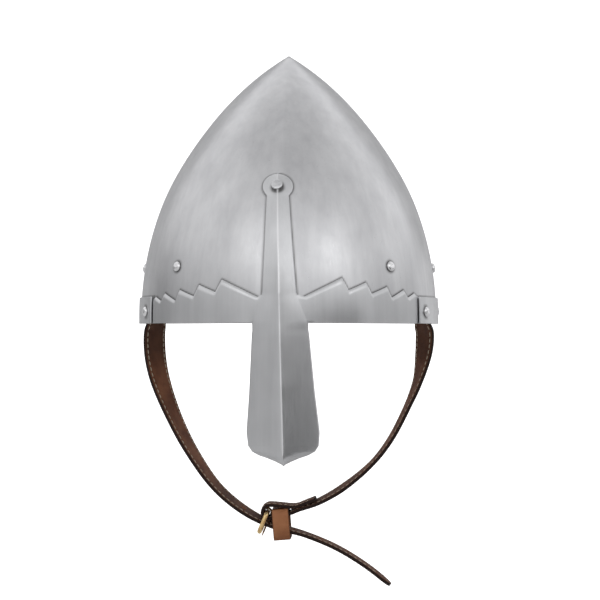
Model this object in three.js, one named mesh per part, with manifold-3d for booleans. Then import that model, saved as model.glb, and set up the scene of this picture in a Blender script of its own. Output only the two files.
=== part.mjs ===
// A conical steel helmet with a nose guard: a keeled skull, a saw-edged brow plate whose stem and nasal
// are one sheet with it, a rear rim band, domed rivets, and a stitched leather chin strap with a buckle.
// Millimetres and degrees. +Z is up, the nasal faces -Y, and the origin is the middle of the rim.
import * as THREE from 'three';
import { mergeVertices } from 'three/addons/utils/BufferGeometryUtils.js';
import Module from 'manifold-3d';

const wasm = await Module();
wasm.setup();

// Skull
const skullWidth = 210; // ear to ear, outside, at the rim
const skullDepth = 234; // brow to nape, outside, at the rim
const skullHeight = 192; // rim to point
const skullWall = 2;
const uprightHeight = 6; // the wall stands straight up this far before it curves in
const sideFlat = 1.4; // the upper half of each side is hammered this much flatter than the arc
const flatFrom = 82; // height at which the flatter part starts
const keelHeight = 2.2; // the soft ridge down the middle, front and back
const keelSpread = 18; // degrees to each side of the middle
const keelHollow = 0.25; // share of the keel by which a rivet's tail stands clear of its inner groove
const rimArch = 3; // the rim rises this much over the brow

// Plates riveted round the rim
const plateWall = 1.2;
const clearance = 0.35; // between any two pieces that lie together
const browFloor = 18.4; // height of the brow plate at its ends
const browReach = 69; // degrees from the middle to the end of the brow plate
const browTilt = 0.8; // the hand-cut top edge climbs to one side by this many degrees
const bandHeight = 18.4;
const bandFront = 59.1; // degrees from the middle to the rear band's front edge
const bandStep = 5; // degrees over which the rear band steps out over the brow plate
const stemLean = 1.56; // the hand-set stem and nasal lean out of the skull's middle by this many degrees
const leanFoot = -21.7; // height at which their middle line crosses the skull's middle
const stemFoot = 21.4; // height at which the stem leaves the brow
const stemFootWidth = 23.2;
const stemNeckWidth = 15;
const stemRidge = 1.6; // crease along the stem
const finialHeight = 93.7; // centre of the round end of the stem
const finialWidth = 20.6;
const finialTall = 17.6;
const neckShare = 0.35; // the neck lies this share of finialTall under the round end's centre
const nasalWidth = 48.6;
const nasalLength = 94.5;
const nasalTip = 1.2; // width across the blunt point
const nasalFold = 8; // how far the nasal's ridge stands out from its edges
const foldShare = 0.3; // share of the nasal over which its fold comes up
const nasalThrow = 2; // degrees by which the nasal leans forward

// Rivets
const ringRivetHeight = 40.5;
const bandRivetHeight = 9.7;
const rivetHead = 7; // width of a domed head
const rivetRise = 2.1; // height of the dome
const rivetShank = 3.2;
const rivetTail = 5.4;
const rivetTailRise = 1;
const stemRivetHead = 7.7;

// Chin strap, buckle and keeper
const strapWidth = 22;
const strapWall = 2.4;
const strapDrop = 140; // rim to the buckle
const strapTop = 50; // how far the straps reach up inside the skull
const strapFlat = 30; // they lie flat against it down to this height
const edgeBevel = 0.22; // share of the leather's wall
const wireWidth = 3.3; // the buckle's brass wire
const buckleLength = 17.6;
const buckleSwing = 68; // degrees by which the buckle hangs down out of line with the strap
const foldRadius = 4.8; // middle of the leather round the buckle's bar
const barTurn = 200; // degrees round the fold at which the bar's wire lies
const prongWidth = 2.4;
const prongWall = 1.3;
const keeperWidth = 12;
const keeperTall = 22;
const keeperWall = 1.6;
const keeperLean = 4.5;
const keeperAcross = -0.05; // share of the way out to where the strap hangs
const keeperDrop = 4.1; // its middle hangs this far under the fold
const holeWidth = 4; // punched holes of the billet
const holeSpacing = 20;

const steel = new THREE.MeshStandardMaterial({ color: 0xb9bbc1, roughness: 0.33, metalness: 1 });
const rivetSteel = new THREE.MeshStandardMaterial({ color: 0xd2d4d8, roughness: 0.25, metalness: 1 });
const brownLeather = new THREE.MeshStandardMaterial({ color: 0x4f2f22, roughness: 0.62, metalness: 0 });
const tanLeather = new THREE.MeshStandardMaterial({ color: 0x8b5c42, roughness: 0.6, metalness: 0 });
const brass = new THREE.MeshStandardMaterial({ color: 0xc79a4b, roughness: 0.28, metalness: 1 });

const rad = THREE.MathUtils.degToRad;
const lerp = THREE.MathUtils.lerp;
const smooth = THREE.MathUtils.smoothstep;

// The skull's side is an arc that starts upright and meets its mirror image at the point.
const halfWidth = skullWidth / 2;
const arcRise = skullHeight - uprightHeight;
const arcRadius = (arcRise ** 2 + halfWidth ** 2) / skullWidth;

// The point's height on a skin that lies `out` outside the skull's outer face.
function pointHeight(out) {
  return uprightHeight + Math.sqrt((arcRadius + out) ** 2 - (arcRadius - halfWidth) ** 2);
}

// Half the skin's width at one height.
function sideAt(height, out) {
  const rise = Math.max(0, height - uprightHeight);
  const across = Math.sqrt(Math.max(0, (arcRadius + out) ** 2 - rise ** 2));
  const share = THREE.MathUtils.clamp((height - flatFrom) / (skullHeight - flatFrom), 0, 1);
  return Math.max(0, halfWidth - arcRadius + across - sideFlat * Math.sin(Math.PI * share) ** 2);
}

// The keel fades out over keelSpread degrees from the middle of the front and of the back.
function keelShare(angle) {
  const turn = Math.abs(((angle % 360) + 540) % 360 - 180);
  const fromMiddle = Math.min(turn, 180 - turn);
  return Math.max(0, 1 - fromMiddle / keelSpread) ** 2;
}

function rimHeight(angle) {
  return rimArch * ((1 + Math.cos(rad(angle))) / 2) ** 2;
}

// A point on the skin: angle 0 is the middle of the brow, and positive angles go towards +X.
function skinPoint(angle, height, out) {
  const side = sideAt(height, out);
  const share = side / (halfWidth + out);
  const depth = share * (skullDepth / 2 + out + keelHeight * keelShare(angle));
  return new THREE.Vector3(side * Math.sin(rad(angle)), -depth * Math.cos(rad(angle)), height);
}

// The skin's outward direction.
function skinNormal(angle, height) {
  const across = skinPoint(angle + 1, height, 0).sub(skinPoint(angle - 1, height, 0));
  const up = skinPoint(angle, height + 1, 0).sub(skinPoint(angle, height - 1, 0));
  return across.cross(up).normalize();
}

function geometryOf(points, index) {
  const shape = new THREE.BufferGeometry().setFromPoints(points);
  shape.setIndex(index);
  return shape;
}

// Metal sheet: two skins with the same faces, and a wall round every open edge.
function sheetGeometry(outer, inner, faces) {
  const count = outer.length;
  const index = [];
  const open = new Map();
  for (const [a, b, c] of faces) {
    index.push(a, b, c, count + a, count + c, count + b);
    for (const [from, to] of [[a, b], [b, c], [c, a]]) {
      if (!open.delete(`${to} ${from}`)) open.set(`${from} ${to}`, [from, to]);
    }
  }
  for (const [from, to] of open.values()) {
    index.push(to, from, count + from, to, count + from, count + to);
  }
  return geometryOf([...outer, ...inner], index);
}

// Two faces for each cell of a grid whose columns run anticlockwise seen from outside.
function gridFaces(rows, columns, vertexAt) {
  const faces = [];
  for (let row = 0; row < rows; row += 1) {
    for (let column = 0; column < columns; column += 1) {
      const low = vertexAt(row, column);
      const lowNext = vertexAt(row, column + 1);
      const high = vertexAt(row + 1, column);
      const highNext = vertexAt(row + 1, column + 1);
      faces.push([low, lowNext, highNext], [low, highNext, high]);
    }
  }
  return faces;
}

function solidOf(geometry) {
  const plain = geometry.clone();
  plain.deleteAttribute('normal');
  plain.deleteAttribute('uv');
  const merged = mergeVertices(plain, 1e-4);
  return new wasm.Manifold(new wasm.Mesh({
    numProp: 3,
    vertProperties: merged.attributes.position.array,
    triVerts: new Uint32Array(merged.index.array),
  }));
}

function cutBy(geometry, tools) {
  const left = tools.reduce((rest, tool) => rest.subtract(solidOf(tool)), solidOf(geometry));
  const made = left.getMesh();
  const shape = new THREE.BufferGeometry();
  shape.setAttribute('position', new THREE.BufferAttribute(made.vertProperties, 3));
  shape.setIndex(new THREE.BufferAttribute(made.triVerts, 1));
  return shape;
}

// A drill's path: a cylinder whose middle is at a point and whose axis has a direction.
function drill(point, direction, width, length) {
  const turn = new THREE.Quaternion().setFromUnitVectors(new THREE.Vector3(0, 1, 0), direction);
  return new THREE.CylinderGeometry(width / 2, width / 2, length, 12)
    .applyQuaternion(turn)
    .translate(point.x, point.y, point.z);
}

const helmet = new THREE.Group();

function addPiece(name, geometry, material) {
  const piece = new THREE.Mesh(geometry, material);
  piece.name = name;
  helmet.add(piece);
  return piece;
}

// Rivets, by where their heads sit: `out` is the face under the head, `grip` is what lies inside the skull.
const ringAngles = [-135, -45, 45, 135, 180];
const strapAngle = 90; // the straps hang from these
const earAngle = 98;
const rearAngle = 140;
const overlapAngle = 63.6; // through the rear band's ends and the brow plate's ends
const wallBow = (strapWidth / 2) ** 2 * halfWidth / (2 * (skullDepth / 2) ** 2); // wall's curve behind a flat strap
const bandOut = clearance + plateWall;
const overlapOut = bandOut + clearance + plateWall;
const strapGrip = 2 * clearance + wallBow + strapWall;
const finialAngle = THREE.MathUtils.radToDeg(Math.asin(leanAt(finialHeight) / sideAt(finialHeight, 0)));
function rivetPair(name, angle, height, out, grip) {
  return [-angle, angle].map((turn, i) => ({ name: `${name}_${i + 1}`, angle: turn, height, out, grip, head: rivetHead }));
}
const rivets = [
  { name: 'stem_rivet', angle: finialAngle, height: finialHeight, out: bandOut + stemRidge, grip: 0,
    head: stemRivetHead },
  ...ringAngles.map((angle, i) => (
    { name: `ring_rivet_${i + 1}`, angle, height: ringRivetHeight, out: 0, grip: 0, head: rivetHead })),
  ...rivetPair('strap_rivet', strapAngle, ringRivetHeight, 0, strapGrip),
  ...rivetPair('overlap_rivet', overlapAngle, bandRivetHeight, overlapOut, 0),
  ...rivetPair('ear_rivet', earAngle, bandRivetHeight, bandOut, 0),
  ...rivetPair('rear_rivet', rearAngle, bandRivetHeight, bandOut, 0),
];

// The hole that a rivet needs in every piece it passes.
function rivetHole({ angle, height, out, grip }) {
  const length = 2 * (out + skullWall + grip + rivetRise);
  return drill(skinPoint(angle, height, 0), skinNormal(angle, height), rivetShank + 2 * clearance, length);
}

// Skull: one sheet, raised to a point, with a keel in the middle of the front and of the back.
const skullColumns = 54;
const skullRows = 13;
const skullShares = [0];
for (let row = 0; row < skullRows; row += 1) {
  const slope = (row / skullRows) * Math.asin(arcRise / arcRadius);
  skullShares.push((uprightHeight + arcRadius * Math.sin(slope)) / skullHeight);
}
function skullSkin(out) {
  const points = [];
  for (const share of skullShares) {
    for (let column = 0; column < skullColumns; column += 1) {
      const angle = (column * 360) / skullColumns;
      points.push(skinPoint(angle, lerp(rimHeight(angle), pointHeight(out), share), out));
    }
  }
  points.push(new THREE.Vector3(0, 0, pointHeight(out)));
  return points;
}
const skullFaces = gridFaces(skullShares.length - 1, skullColumns, (row, column) => (
  row * skullColumns + (column % skullColumns)));
const lastRing = (skullShares.length - 1) * skullColumns;
for (let column = 0; column < skullColumns; column += 1) {
  skullFaces.push([lastRing + column, lastRing + ((column + 1) % skullColumns), lastRing + skullColumns]);
}
const skullSheet = sheetGeometry(skullSkin(0), skullSkin(-skullWall), skullFaces);
addPiece('skull', cutBy(skullSheet, rivets.map(rivetHole)), steel);

// Front plate: a middle strip (nasal, brow, stem and round end) with a wing of brow on each side.
// The saw teeth of the brow, from the stem outwards: angles, and heights as shares of the brow's floor.
const browEdge = [
  { angle: 8.5, height: 1.09 },
  { angle: 14.6, height: 1.38 },
  { angle: 22.7, height: 1.75 },
  { angle: 25.1, height: 1.29 },
  { angle: 32.5, height: 1.57 },
  { angle: 34.7, height: 1.15 },
  { angle: 42.1, height: 1.4 },
  { angle: 44.1, height: 1 },
  { angle: 50.9, height: 1.28 },
  { angle: 53.2, height: 0.99 },
  { angle: 57.5, height: 1.15 },
  { angle: 61.2, height: 0.97 },
  { angle: 65, height: 1 },
  { angle: browReach, height: 1 },
];
// The nasal's outline from the rim down: shares of its length and of its width.
const nasalEdge = [
  { down: 1, width: 0 },
  { down: 0.975, width: 0.2 },
  { down: 0.95, width: 0.44 },
  { down: 0.93, width: 0.68 },
  { down: 0.905, width: 0.86 },
  { down: 0.865, width: 0.965 },
  { down: 0.77, width: 1 },
  { down: 0.5, width: 0.9 },
  { down: 0.25, width: 0.83 },
  { down: 0.06, width: 0.777 },
];
const nasalTopShare = 0.767;
const browRows = 3;

// How far the leaning middle line has moved sideways at one height.
function leanAt(height) {
  return (leanFoot - height) * Math.tan(rad(stemLean));
}

// The strip's rows from the nasal's point to the top of the round end.
const stripRows = nasalEdge.map(({ down, width }) => (
  { height: rimHeight(0) - down * nasalLength, half: Math.max(nasalTip, width * nasalWidth) / 2 }));
for (let row = 0; row <= browRows; row += 1) {
  const share = row / browRows;
  stripRows.push({
    height: lerp(rimHeight(0), stemFoot, share),
    half: lerp(nasalTopShare * nasalWidth, stemFootWidth, share) / 2,
  });
}
const neckHeight = finialHeight - neckShare * finialTall;
const stemRows = 6;
for (let row = 1; row <= stemRows; row += 1) {
  const share = row / stemRows;
  stripRows.push({
    height: lerp(stemFoot, neckHeight, share),
    half: lerp(stemFootWidth, stemNeckWidth, share) / 2,
  });
}
const roundEndTurns = [-30, -12, 8, 28, 48, 66, 80]; // degrees round the stem's end
for (const turn of roundEndTurns) {
  stripRows.push({
    height: finialHeight + (finialTall / 2) * Math.sin(rad(turn)),
    half: (finialWidth / 2) * Math.cos(rad(turn)),
  });
}

// A point of the middle strip. Across runs from -1 at one edge to 1 at the other.
function stripPoint({ height, half }, across, out) {
  const side = sideAt(height, out);
  const middle = leanAt(height);
  const angle = THREE.MathUtils.radToDeg(Math.asin((middle + across * half) / side));
  const point = skinPoint(angle, height, out);
  const crease = THREE.MathUtils.radToDeg(Math.asin(middle / side));
  const keel = keelHeight * (keelShare(angle - crease) - keelShare(angle));
  point.y -= (keel * side) / (halfWidth + out);
  const below = rimHeight(0) - height;
  const fold = lerp(stemRidge, nasalFold, smooth(below, 0, nasalLength * foldShare));
  point.y -= fold * (1 - Math.abs(across)) + Math.max(0, below) * Math.tan(rad(nasalThrow));
  return point;
}

// A point of a wing, whose columns start at the strip's edge and straighten towards the end.
function wingPoint(side, column, row, out) {
  const startLow = edgeAngle(side, 0);
  const startHigh = edgeAngle(side, browRows);
  const { angle, height } = browEdge[column - 1];
  const low = lerp(startLow, browReach, (angle - startHigh) / (browReach - startHigh));
  const turn = side * lerp(low, angle, row / browRows);
  const tilt = Math.tan(rad(browTilt)) * halfWidth * Math.sin(rad(side * angle));
  return skinPoint(turn, lerp(rimHeight(turn), height * browFloor + tilt, row / browRows), out);
}

// The strip's edge as an angle on the skull, on one row of the brow.
function edgeAngle(side, row) {
  const { height, half } = stripRows[nasalEdge.length + row];
  const across = (side * half + leanAt(height)) / sideAt(height, 0);
  return Math.abs(THREE.MathUtils.radToDeg(Math.asin(across)));
}

const acrossStops = [-1, -0.5, 0, 0.5, 1];
function frontSkin(out) {
  const points = [];
  for (const row of stripRows) {
    for (const across of acrossStops) points.push(stripPoint(row, across, out));
  }
  for (const side of [-1, 1]) {
    for (let column = 1; column <= browEdge.length; column += 1) {
      for (let row = 0; row <= browRows; row += 1) points.push(wingPoint(side, column, row, out));
    }
  }
  return points;
}
const stripCount = stripRows.length * acrossStops.length;
const wingCount = browEdge.length * (browRows + 1);
function wingVertex(side, row, column) {
  const edge = side < 0 ? 0 : acrossStops.length - 1;
  if (column === 0) return (nasalEdge.length + row) * acrossStops.length + edge;
  return stripCount + (side < 0 ? 0 : wingCount) + (column - 1) * (browRows + 1) + row;
}
const frontFaces = [
  ...gridFaces(stripRows.length - 1, acrossStops.length - 1, (row, column) => (
    row * acrossStops.length + column)),
  ...gridFaces(browRows, browEdge.length, (row, column) => wingVertex(1, row, column)),
  ...gridFaces(browRows, browEdge.length, (row, column) => wingVertex(-1, row, browEdge.length - column)),
];
const frontSheet = sheetGeometry(frontSkin(bandOut), frontSkin(clearance), frontFaces);
const frontHoles = rivets.filter(({ name }) => name.startsWith('stem') || name.startsWith('overlap'));
addPiece('front_plate', cutBy(frontSheet, frontHoles.map(rivetHole)), steel);

// Rear band: a plain strip round the back, whose ends step out over the ends of the brow plate.
const stepStart = browReach + 2;
const stepEnd = stepStart + bandStep;
const bandColumns = 36;
const bandAngles = [bandFront, overlapAngle, stepStart, stepEnd];
for (let column = 1; column <= bandColumns; column += 1) {
  bandAngles.push(stepEnd + (column * (360 - 2 * stepEnd)) / bandColumns);
}
bandAngles.push(360 - stepStart, 360 - overlapAngle, 360 - bandFront);
const bandRows = 2;
function bandSkin(out) {
  return bandAngles.flatMap((angle) => {
    const fromMiddle = Math.min(angle, 360 - angle);
    const step = (overlapOut - bandOut) * (1 - smooth(fromMiddle, stepStart, stepEnd));
    return Array.from({ length: bandRows + 1 }, (_, row) => (
      skinPoint(angle, rimHeight(angle) + (row / bandRows) * bandHeight, out + step)));
  });
}
const bandFaces = gridFaces(bandRows, bandAngles.length - 1, (row, column) => column * (bandRows + 1) + row);
const bandSheet = sheetGeometry(bandSkin(bandOut), bandSkin(clearance), bandFaces);
const bandHoles = rivets.filter(({ name }) => !name.startsWith('stem') && !name.startsWith('ring'));
addPiece('rear_band', cutBy(bandSheet, bandHoles.map(rivetHole)), steel);

// Rivets: a domed head outside, a shank through the layers, and a low dome inside.
function rivetGeometry({ out, grip, head, angle }) {
  const seat = out + clearance;
  const hollow = keelHollow * keelHeight * keelShare(angle);
  const back = -(skullWall + grip + clearance + hollow);
  const profile = [new THREE.Vector2(0, back - rivetTailRise)];
  profile.push(new THREE.Vector2(0.6 * rivetTail / 2, back - 0.8 * rivetTailRise));
  profile.push(new THREE.Vector2(rivetTail / 2, back));
  profile.push(new THREE.Vector2(rivetShank / 2, back), new THREE.Vector2(rivetShank / 2, seat));
  for (const turn of [0, 35, 65, 90]) {
    const across = (head / 2) * Math.cos(rad(turn));
    profile.push(new THREE.Vector2(turn === 90 ? 0 : across, seat + rivetRise * Math.sin(rad(turn))));
  }
  return new THREE.LatheGeometry(profile, 10);
}
for (const rivet of rivets) {
  const piece = addPiece(rivet.name, rivetGeometry(rivet), rivetSteel);
  const normal = skinNormal(rivet.angle, rivet.height);
  piece.position.copy(skinPoint(rivet.angle, rivet.height, 0));
  piece.quaternion.setFromUnitVectors(new THREE.Vector3(0, 1, 0), normal);
}

// A bar, wire or strap: one section carried along stations, each with a place and two directions.
function sweepGeometry(stations, section, closed) {
  const sides = section.length;
  const points = stations.flatMap(({ place, across, out, wide = 1 }) => section.map(([u, v]) => (
    place.clone().addScaledVector(across, u * wide).addScaledVector(out, v))));
  const index = [];
  const spans = closed ? stations.length : stations.length - 1;
  for (let span = 0; span < spans; span += 1) {
    const here = span * sides;
    const next = ((span + 1) % stations.length) * sides;
    for (let side = 0; side < sides; side += 1) {
      const beside = (side + 1) % sides;
      index.push(here + side, next + beside, next + side, here + side, here + beside, next + beside);
    }
  }
  if (!closed) {
    const last = (stations.length - 1) * sides;
    for (let side = 1; side < sides - 1; side += 1) {
      index.push(0, side + 1, side, last, last + side, last + side + 1);
    }
  }
  return geometryOf(points, index);
}

// The section of a leather strap, whose edges are bevelled, and of a round wire.
function strapSection(width, wall) {
  const bevel = wall * edgeBevel;
  const [u, v] = [width / 2, wall / 2];
  return [[u, v - bevel], [u - bevel, v], [bevel - u, v], [-u, v - bevel],
    [-u, bevel - v], [bevel - u, -v], [u - bevel, -v], [u, bevel - v]];
}
function wireSection(width, sides) {
  return Array.from({ length: sides }, (_, i) => {
    const turn = ((i + 0.5) * 2 * Math.PI) / sides;
    return [(width / 2) * Math.cos(turn), (width / 2) * Math.sin(turn)];
  });
}

// Stations round a rectangle with rounded corners, which lies in the plane of two directions.
function loopStations({ centre, along, beside, length, width, corner }) {
  const stations = [];
  const across = along.clone().cross(beside);
  const steps = 4;
  for (const [quarter, [signAlong, signBeside]] of [[1, 1], [-1, 1], [-1, -1], [1, -1]].entries()) {
    for (let step = 0; step <= steps; step += 1) {
      const turn = rad(90 * (quarter + step / steps));
      const out = along.clone().multiplyScalar(Math.cos(turn)).addScaledVector(beside, Math.sin(turn));
      const place = centre.clone()
        .addScaledVector(along, signAlong * (length / 2 - corner))
        .addScaledVector(beside, signBeside * (width / 2 - corner))
        .addScaledVector(out, corner);
      stations.push({ place, across, out });
    }
  }
  return stations;
}

// Chin strap. It hangs in the plane y = 0 from the rivets at the ears. In its routes, across is a share of
// the way out to where it lies against the skull, drop is a share of strapDrop, and turn is its twist.
function hangingPoint(side, height) {
  const gone = skullWall + 2 * clearance + strapWall / 2;
  return new THREE.Vector3(side * (sideAt(height, -gone) - wallBow), 0, height);
}
const strapSide = hangingPoint(1, 0).x;
const billetRoute = [
  { across: -0.966, drop: -0.15, turn: 10 },
  { across: -0.956, drop: -0.07, turn: 20 },
  { across: -0.946, drop: 0, turn: 30 },
  { across: -0.955, drop: 0.036, turn: 34 },
  { across: -0.957, drop: 0.09, turn: 35 },
  { across: -0.949, drop: 0.17, turn: 34 },
  { across: -0.917, drop: 0.28, turn: 30 },
  { across: -0.82, drop: 0.465, turn: 20 },
  { across: -0.687, drop: 0.65, turn: 14 },
  { across: -0.503, drop: 0.834, turn: 9 },
  { across: -0.295, drop: 0.955, turn: 7 },
  { across: -0.096, drop: 1.024, turn: 3 },
  { across: 0.117, drop: 1.068, turn: 0 },
  { across: 0.344, drop: 1.136, turn: 0 },
  { across: 0.549, drop: 1.226, turn: 0 },
  { across: 0.72, drop: 1.322, turn: 0 },
];
const buckleRoute = [
  { across: 0.966, drop: -0.15, turn: 10 },
  { across: 0.956, drop: -0.07, turn: 19 },
  { across: 0.949, drop: 0, turn: 27 },
  { across: 0.962, drop: 0.036, turn: 31 },
  { across: 0.962, drop: 0.09, turn: 31 },
  { across: 0.952, drop: 0.157, turn: 27 },
  { across: 0.915, drop: 0.28, turn: 13 },
  { across: 0.848, drop: 0.402, turn: 7 },
  { across: 0.717, drop: 0.585, turn: 5 },
  { across: 0.585, drop: 0.707, turn: 3 },
  { across: 0.379, drop: 0.83, turn: 6 },
  { across: 0.21, drop: 0.9, turn: 4 },
  { across: 0.08, drop: 0.936, turn: 0 },
  { across: 0.006, drop: 0.957, turn: 0 },
  { across: -0.06, drop: 0.972, turn: 0 },
];
const foldRoute = [
  { across: -0.06, drop: 0.917 },
  { across: 0.011, drop: 0.921 },
  { across: 0.117, drop: 0.9015 },
  { across: 0.191, drop: 0.8825 },
];
const onRoute = ({ across, drop }) => new THREE.Vector3(across * strapSide, 0, -drop * strapDrop);

function strapLine(side, route, ending) {
  const hung = [strapTop, ringRivetHeight, strapFlat];
  const places = [...hung.map((height) => hangingPoint(side, height)), ...route.map(onRoute), ...ending];
  const turns = [...hung.map(() => 0), ...route.map(({ turn }) => -side * turn), ...ending.map(() => 0)];
  return { curve: new THREE.CatmullRomCurve3(places, false, 'centripetal'), turns };
}

// The strap's place and directions at t, which runs from 0 at the rivet to 1 at the end.
function strapStation({ curve, turns }, t) {
  const place = curve.getPoint(t);
  const along = curve.getTangent(t);
  const flat = new THREE.Vector3(-along.z, 0, along.x);
  const step = Math.min(turns.length - 2, Math.floor(t * (turns.length - 1)));
  const turn = rad(lerp(turns[step], turns[step + 1], t * (turns.length - 1) - step));
  const width = new THREE.Vector3(0, 1, 0);
  const across = width.clone().multiplyScalar(Math.cos(turn)).addScaledVector(flat, Math.sin(turn));
  const out = flat.clone().multiplyScalar(Math.cos(turn)).addScaledVector(width, -Math.sin(turn));
  return { place, across, out };
}

// Stations at even steps of t, and closer ones round the free end of the billet.
const tipTurns = [0, 22, 42, 58, 70, 79]; // degrees round the free end
function strapStations(line, perPoint, roundEnd) {
  const count = (line.turns.length - 1) * perPoint;
  const steps = Array.from({ length: count + 1 }, (_, i) => i / count);
  if (!roundEnd) return steps.map((t) => strapStation(line, t));
  const length = line.curve.getLength();
  const radius = strapWidth / 2;
  const before = steps.filter((t) => t < line.curve.getUtoTmapping(1 - radius / length) - 0.5 / count);
  const stations = before.map((t) => strapStation(line, t));
  for (const turn of tipTurns) {
    const t = line.curve.getUtoTmapping(1 - (radius - radius * Math.sin(rad(turn))) / length);
    stations.push({ ...strapStation(line, t), wide: Math.cos(rad(turn)) });
  }
  return stations;
}

// The folded end goes round the buckle's bar, whose wire lies in the outer end of the fold.
const foldCentre = onRoute({ across: -0.135, drop: 0.948 });
const foldTurns = [265, 235, 205, 175, 145, 115, 92]; // degrees round the fold
const foldArc = foldTurns.map((turn) => new THREE.Vector3(
  foldCentre.x + foldRadius * Math.cos(rad(turn)), 0, foldCentre.z + foldRadius * Math.sin(rad(turn))));
const billetLine = strapLine(-1, billetRoute, []);
const buckleLine = strapLine(1, buckleRoute, [...foldArc, ...foldRoute.map(onRoute)]);

// Buckle: a rectangle of brass wire, and a prong whose eye turns on the bar inside the fold.
const barRoom = foldRadius - strapWall / 2 - clearance - wireWidth / 2;
const barWay = new THREE.Vector3(Math.cos(rad(barTurn)), 0, Math.sin(rad(barTurn)));
const bar = foldCentre.clone().addScaledVector(barWay, barRoom);
const swing = new THREE.Vector3(-Math.cos(rad(buckleSwing)), 0, -Math.sin(rad(buckleSwing)));
const widthways = new THREE.Vector3(0, 1, 0);
const reach = buckleLength - wireWidth;
const frameStations = loopStations({
  centre: bar.clone().addScaledVector(swing, reach / 2),
  along: swing,
  beside: widthways,
  length: reach,
  width: strapWidth + 4 * clearance + wireWidth,
  corner: wireWidth,
});
addPiece('buckle_frame', sweepGeometry(frameStations, wireSection(wireWidth, 8), true), brass);

const eyeInside = wireWidth / 2 + clearance;
const eyeOutside = eyeInside + prongWall;
const prongEnd = reach + wireWidth;
const prongShape = new THREE.Shape();
prongShape.moveTo(prongEnd - prongWall, eyeInside);
prongShape.lineTo(prongEnd, (eyeInside + eyeOutside) / 2);
prongShape.lineTo(prongEnd - prongWall, eyeOutside);
prongShape.lineTo(0, eyeOutside);
prongShape.absarc(0, 0, eyeOutside, Math.PI / 2, 2 * Math.PI + Math.asin(eyeInside / eyeOutside), false);
const eye = new THREE.Path();
eye.absarc(0, 0, eyeInside, 0, 2 * Math.PI, true);
prongShape.holes.push(eye);
const prongSide = swing.clone().cross(widthways);
const prongFrame = new THREE.Matrix4().makeBasis(swing, prongSide, widthways.clone().negate());
const prong = addPiece('buckle_prong', new THREE.ExtrudeGeometry(prongShape, {
  depth: prongWidth, bevelEnabled: false, curveSegments: 8,
}).translate(0, 0, -prongWidth / 2), brass);
prong.applyMatrix4(prongFrame.setPosition(bar));

// The strap's near half: a slot in its fold lets the prong's eye and shank through.
const slotWidth = prongWidth + 2 * clearance;
const eyeRoom = new THREE.CylinderGeometry(eyeOutside + clearance, eyeOutside + clearance, slotWidth, 16)
  .translate(bar.x, 0, bar.z);
const shankRoom = new THREE.BoxGeometry(reach, prongWall + 2 * clearance, slotWidth)
  .translate(reach / 2, (eyeInside + eyeOutside) / 2, 0)
  .applyMatrix4(prongFrame);
const strapRivetHoles = rivets.filter(({ name }) => name.startsWith('strap'));
const leather = strapSection(strapWidth, strapWall);
addPiece('strap_buckle_side', cutBy(
  sweepGeometry(strapStations(buckleLine, 2, false), leather, false),
  [rivetHole(strapRivetHoles[1]), eyeRoom, shankRoom],
), brownLeather);

// The strap's far half, or billet: the prong goes through one of its punched holes.
const length = billetLine.curve.getLength();
const shankPoint = bar.clone().addScaledVector(prongSide, (eyeInside + eyeOutside) / 2);
function offShank(u) {
  const away = billetLine.curve.getPointAt(u).sub(shankPoint);
  return away.addScaledVector(swing, -away.dot(swing)).length();
}
let prongHole = 0.5;
for (let u = 0.5; u < 1; u += 0.5 / length) {
  if (offShank(u) < offShank(prongHole)) prongHole = u;
}
const billetHoles = [-1, 0, 1, 2, 3].map((hole) => {
  const t = billetLine.curve.getUtoTmapping(prongHole + (hole * holeSpacing) / length);
  const { place, out } = strapStation(billetLine, t);
  return drill(place, hole === 0 ? swing : out, holeWidth, 3 * strapWall);
});
addPiece('strap_billet', cutBy(
  sweepGeometry(strapStations(billetLine, 2, true), leather, false),
  [rivetHole(strapRivetHoles[0]), ...billetHoles],
), brownLeather);

// Keeper: a loop of tan leather round the billet and the strap's outer layer, inside the fold.
const keeperStations = loopStations({
  centre: new THREE.Vector3(keeperAcross * strapSide, 0, foldCentre.z - foldRadius - keeperDrop),
  along: new THREE.Vector3(Math.sin(rad(keeperLean)), 0, -Math.cos(rad(keeperLean))),
  beside: widthways,
  length: keeperTall - keeperWall,
  width: strapWidth + 4 * clearance + keeperWall,
  corner: keeperWall * 1.2,
});
addPiece('keeper', sweepGeometry(keeperStations, strapSection(keeperWidth, keeperWall), true), tanLeather);

export default helmet;
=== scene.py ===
# A conical steel helmet with a nose guard and a buckled chin strap, dressed for a studio picture.
# Metres, +Z up, the nasal faces -Y and the origin is the middle of the rim.
import math

import bpy
import numpy as np
from mathutils import Matrix, Vector
from mathutils.kdtree import KDTree


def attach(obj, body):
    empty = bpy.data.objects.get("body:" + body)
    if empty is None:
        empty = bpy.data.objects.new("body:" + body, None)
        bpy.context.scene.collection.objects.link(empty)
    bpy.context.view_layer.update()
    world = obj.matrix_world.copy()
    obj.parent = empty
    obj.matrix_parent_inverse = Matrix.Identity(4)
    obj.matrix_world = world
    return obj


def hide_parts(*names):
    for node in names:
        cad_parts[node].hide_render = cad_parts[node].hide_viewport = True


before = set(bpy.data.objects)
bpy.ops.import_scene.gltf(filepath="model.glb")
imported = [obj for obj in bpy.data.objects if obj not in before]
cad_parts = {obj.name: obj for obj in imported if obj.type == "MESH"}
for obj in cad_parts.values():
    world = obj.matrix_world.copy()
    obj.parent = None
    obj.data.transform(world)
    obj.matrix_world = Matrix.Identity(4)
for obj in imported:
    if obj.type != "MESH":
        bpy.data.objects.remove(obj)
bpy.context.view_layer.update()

# Camera
# A long lens, level with the lower part of the bowl and a little to one side of the nasal,
# so that the rim shows as a straight line and nothing of the inside is seen.
camera_distance = 1.6
camera_height = 0.0178
camera_turn = math.radians(2.25)
picture_scale = 0.000714  # metres to the pixel of the 600-pixel picture, at the helmet's middle
picture_size = 600
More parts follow.
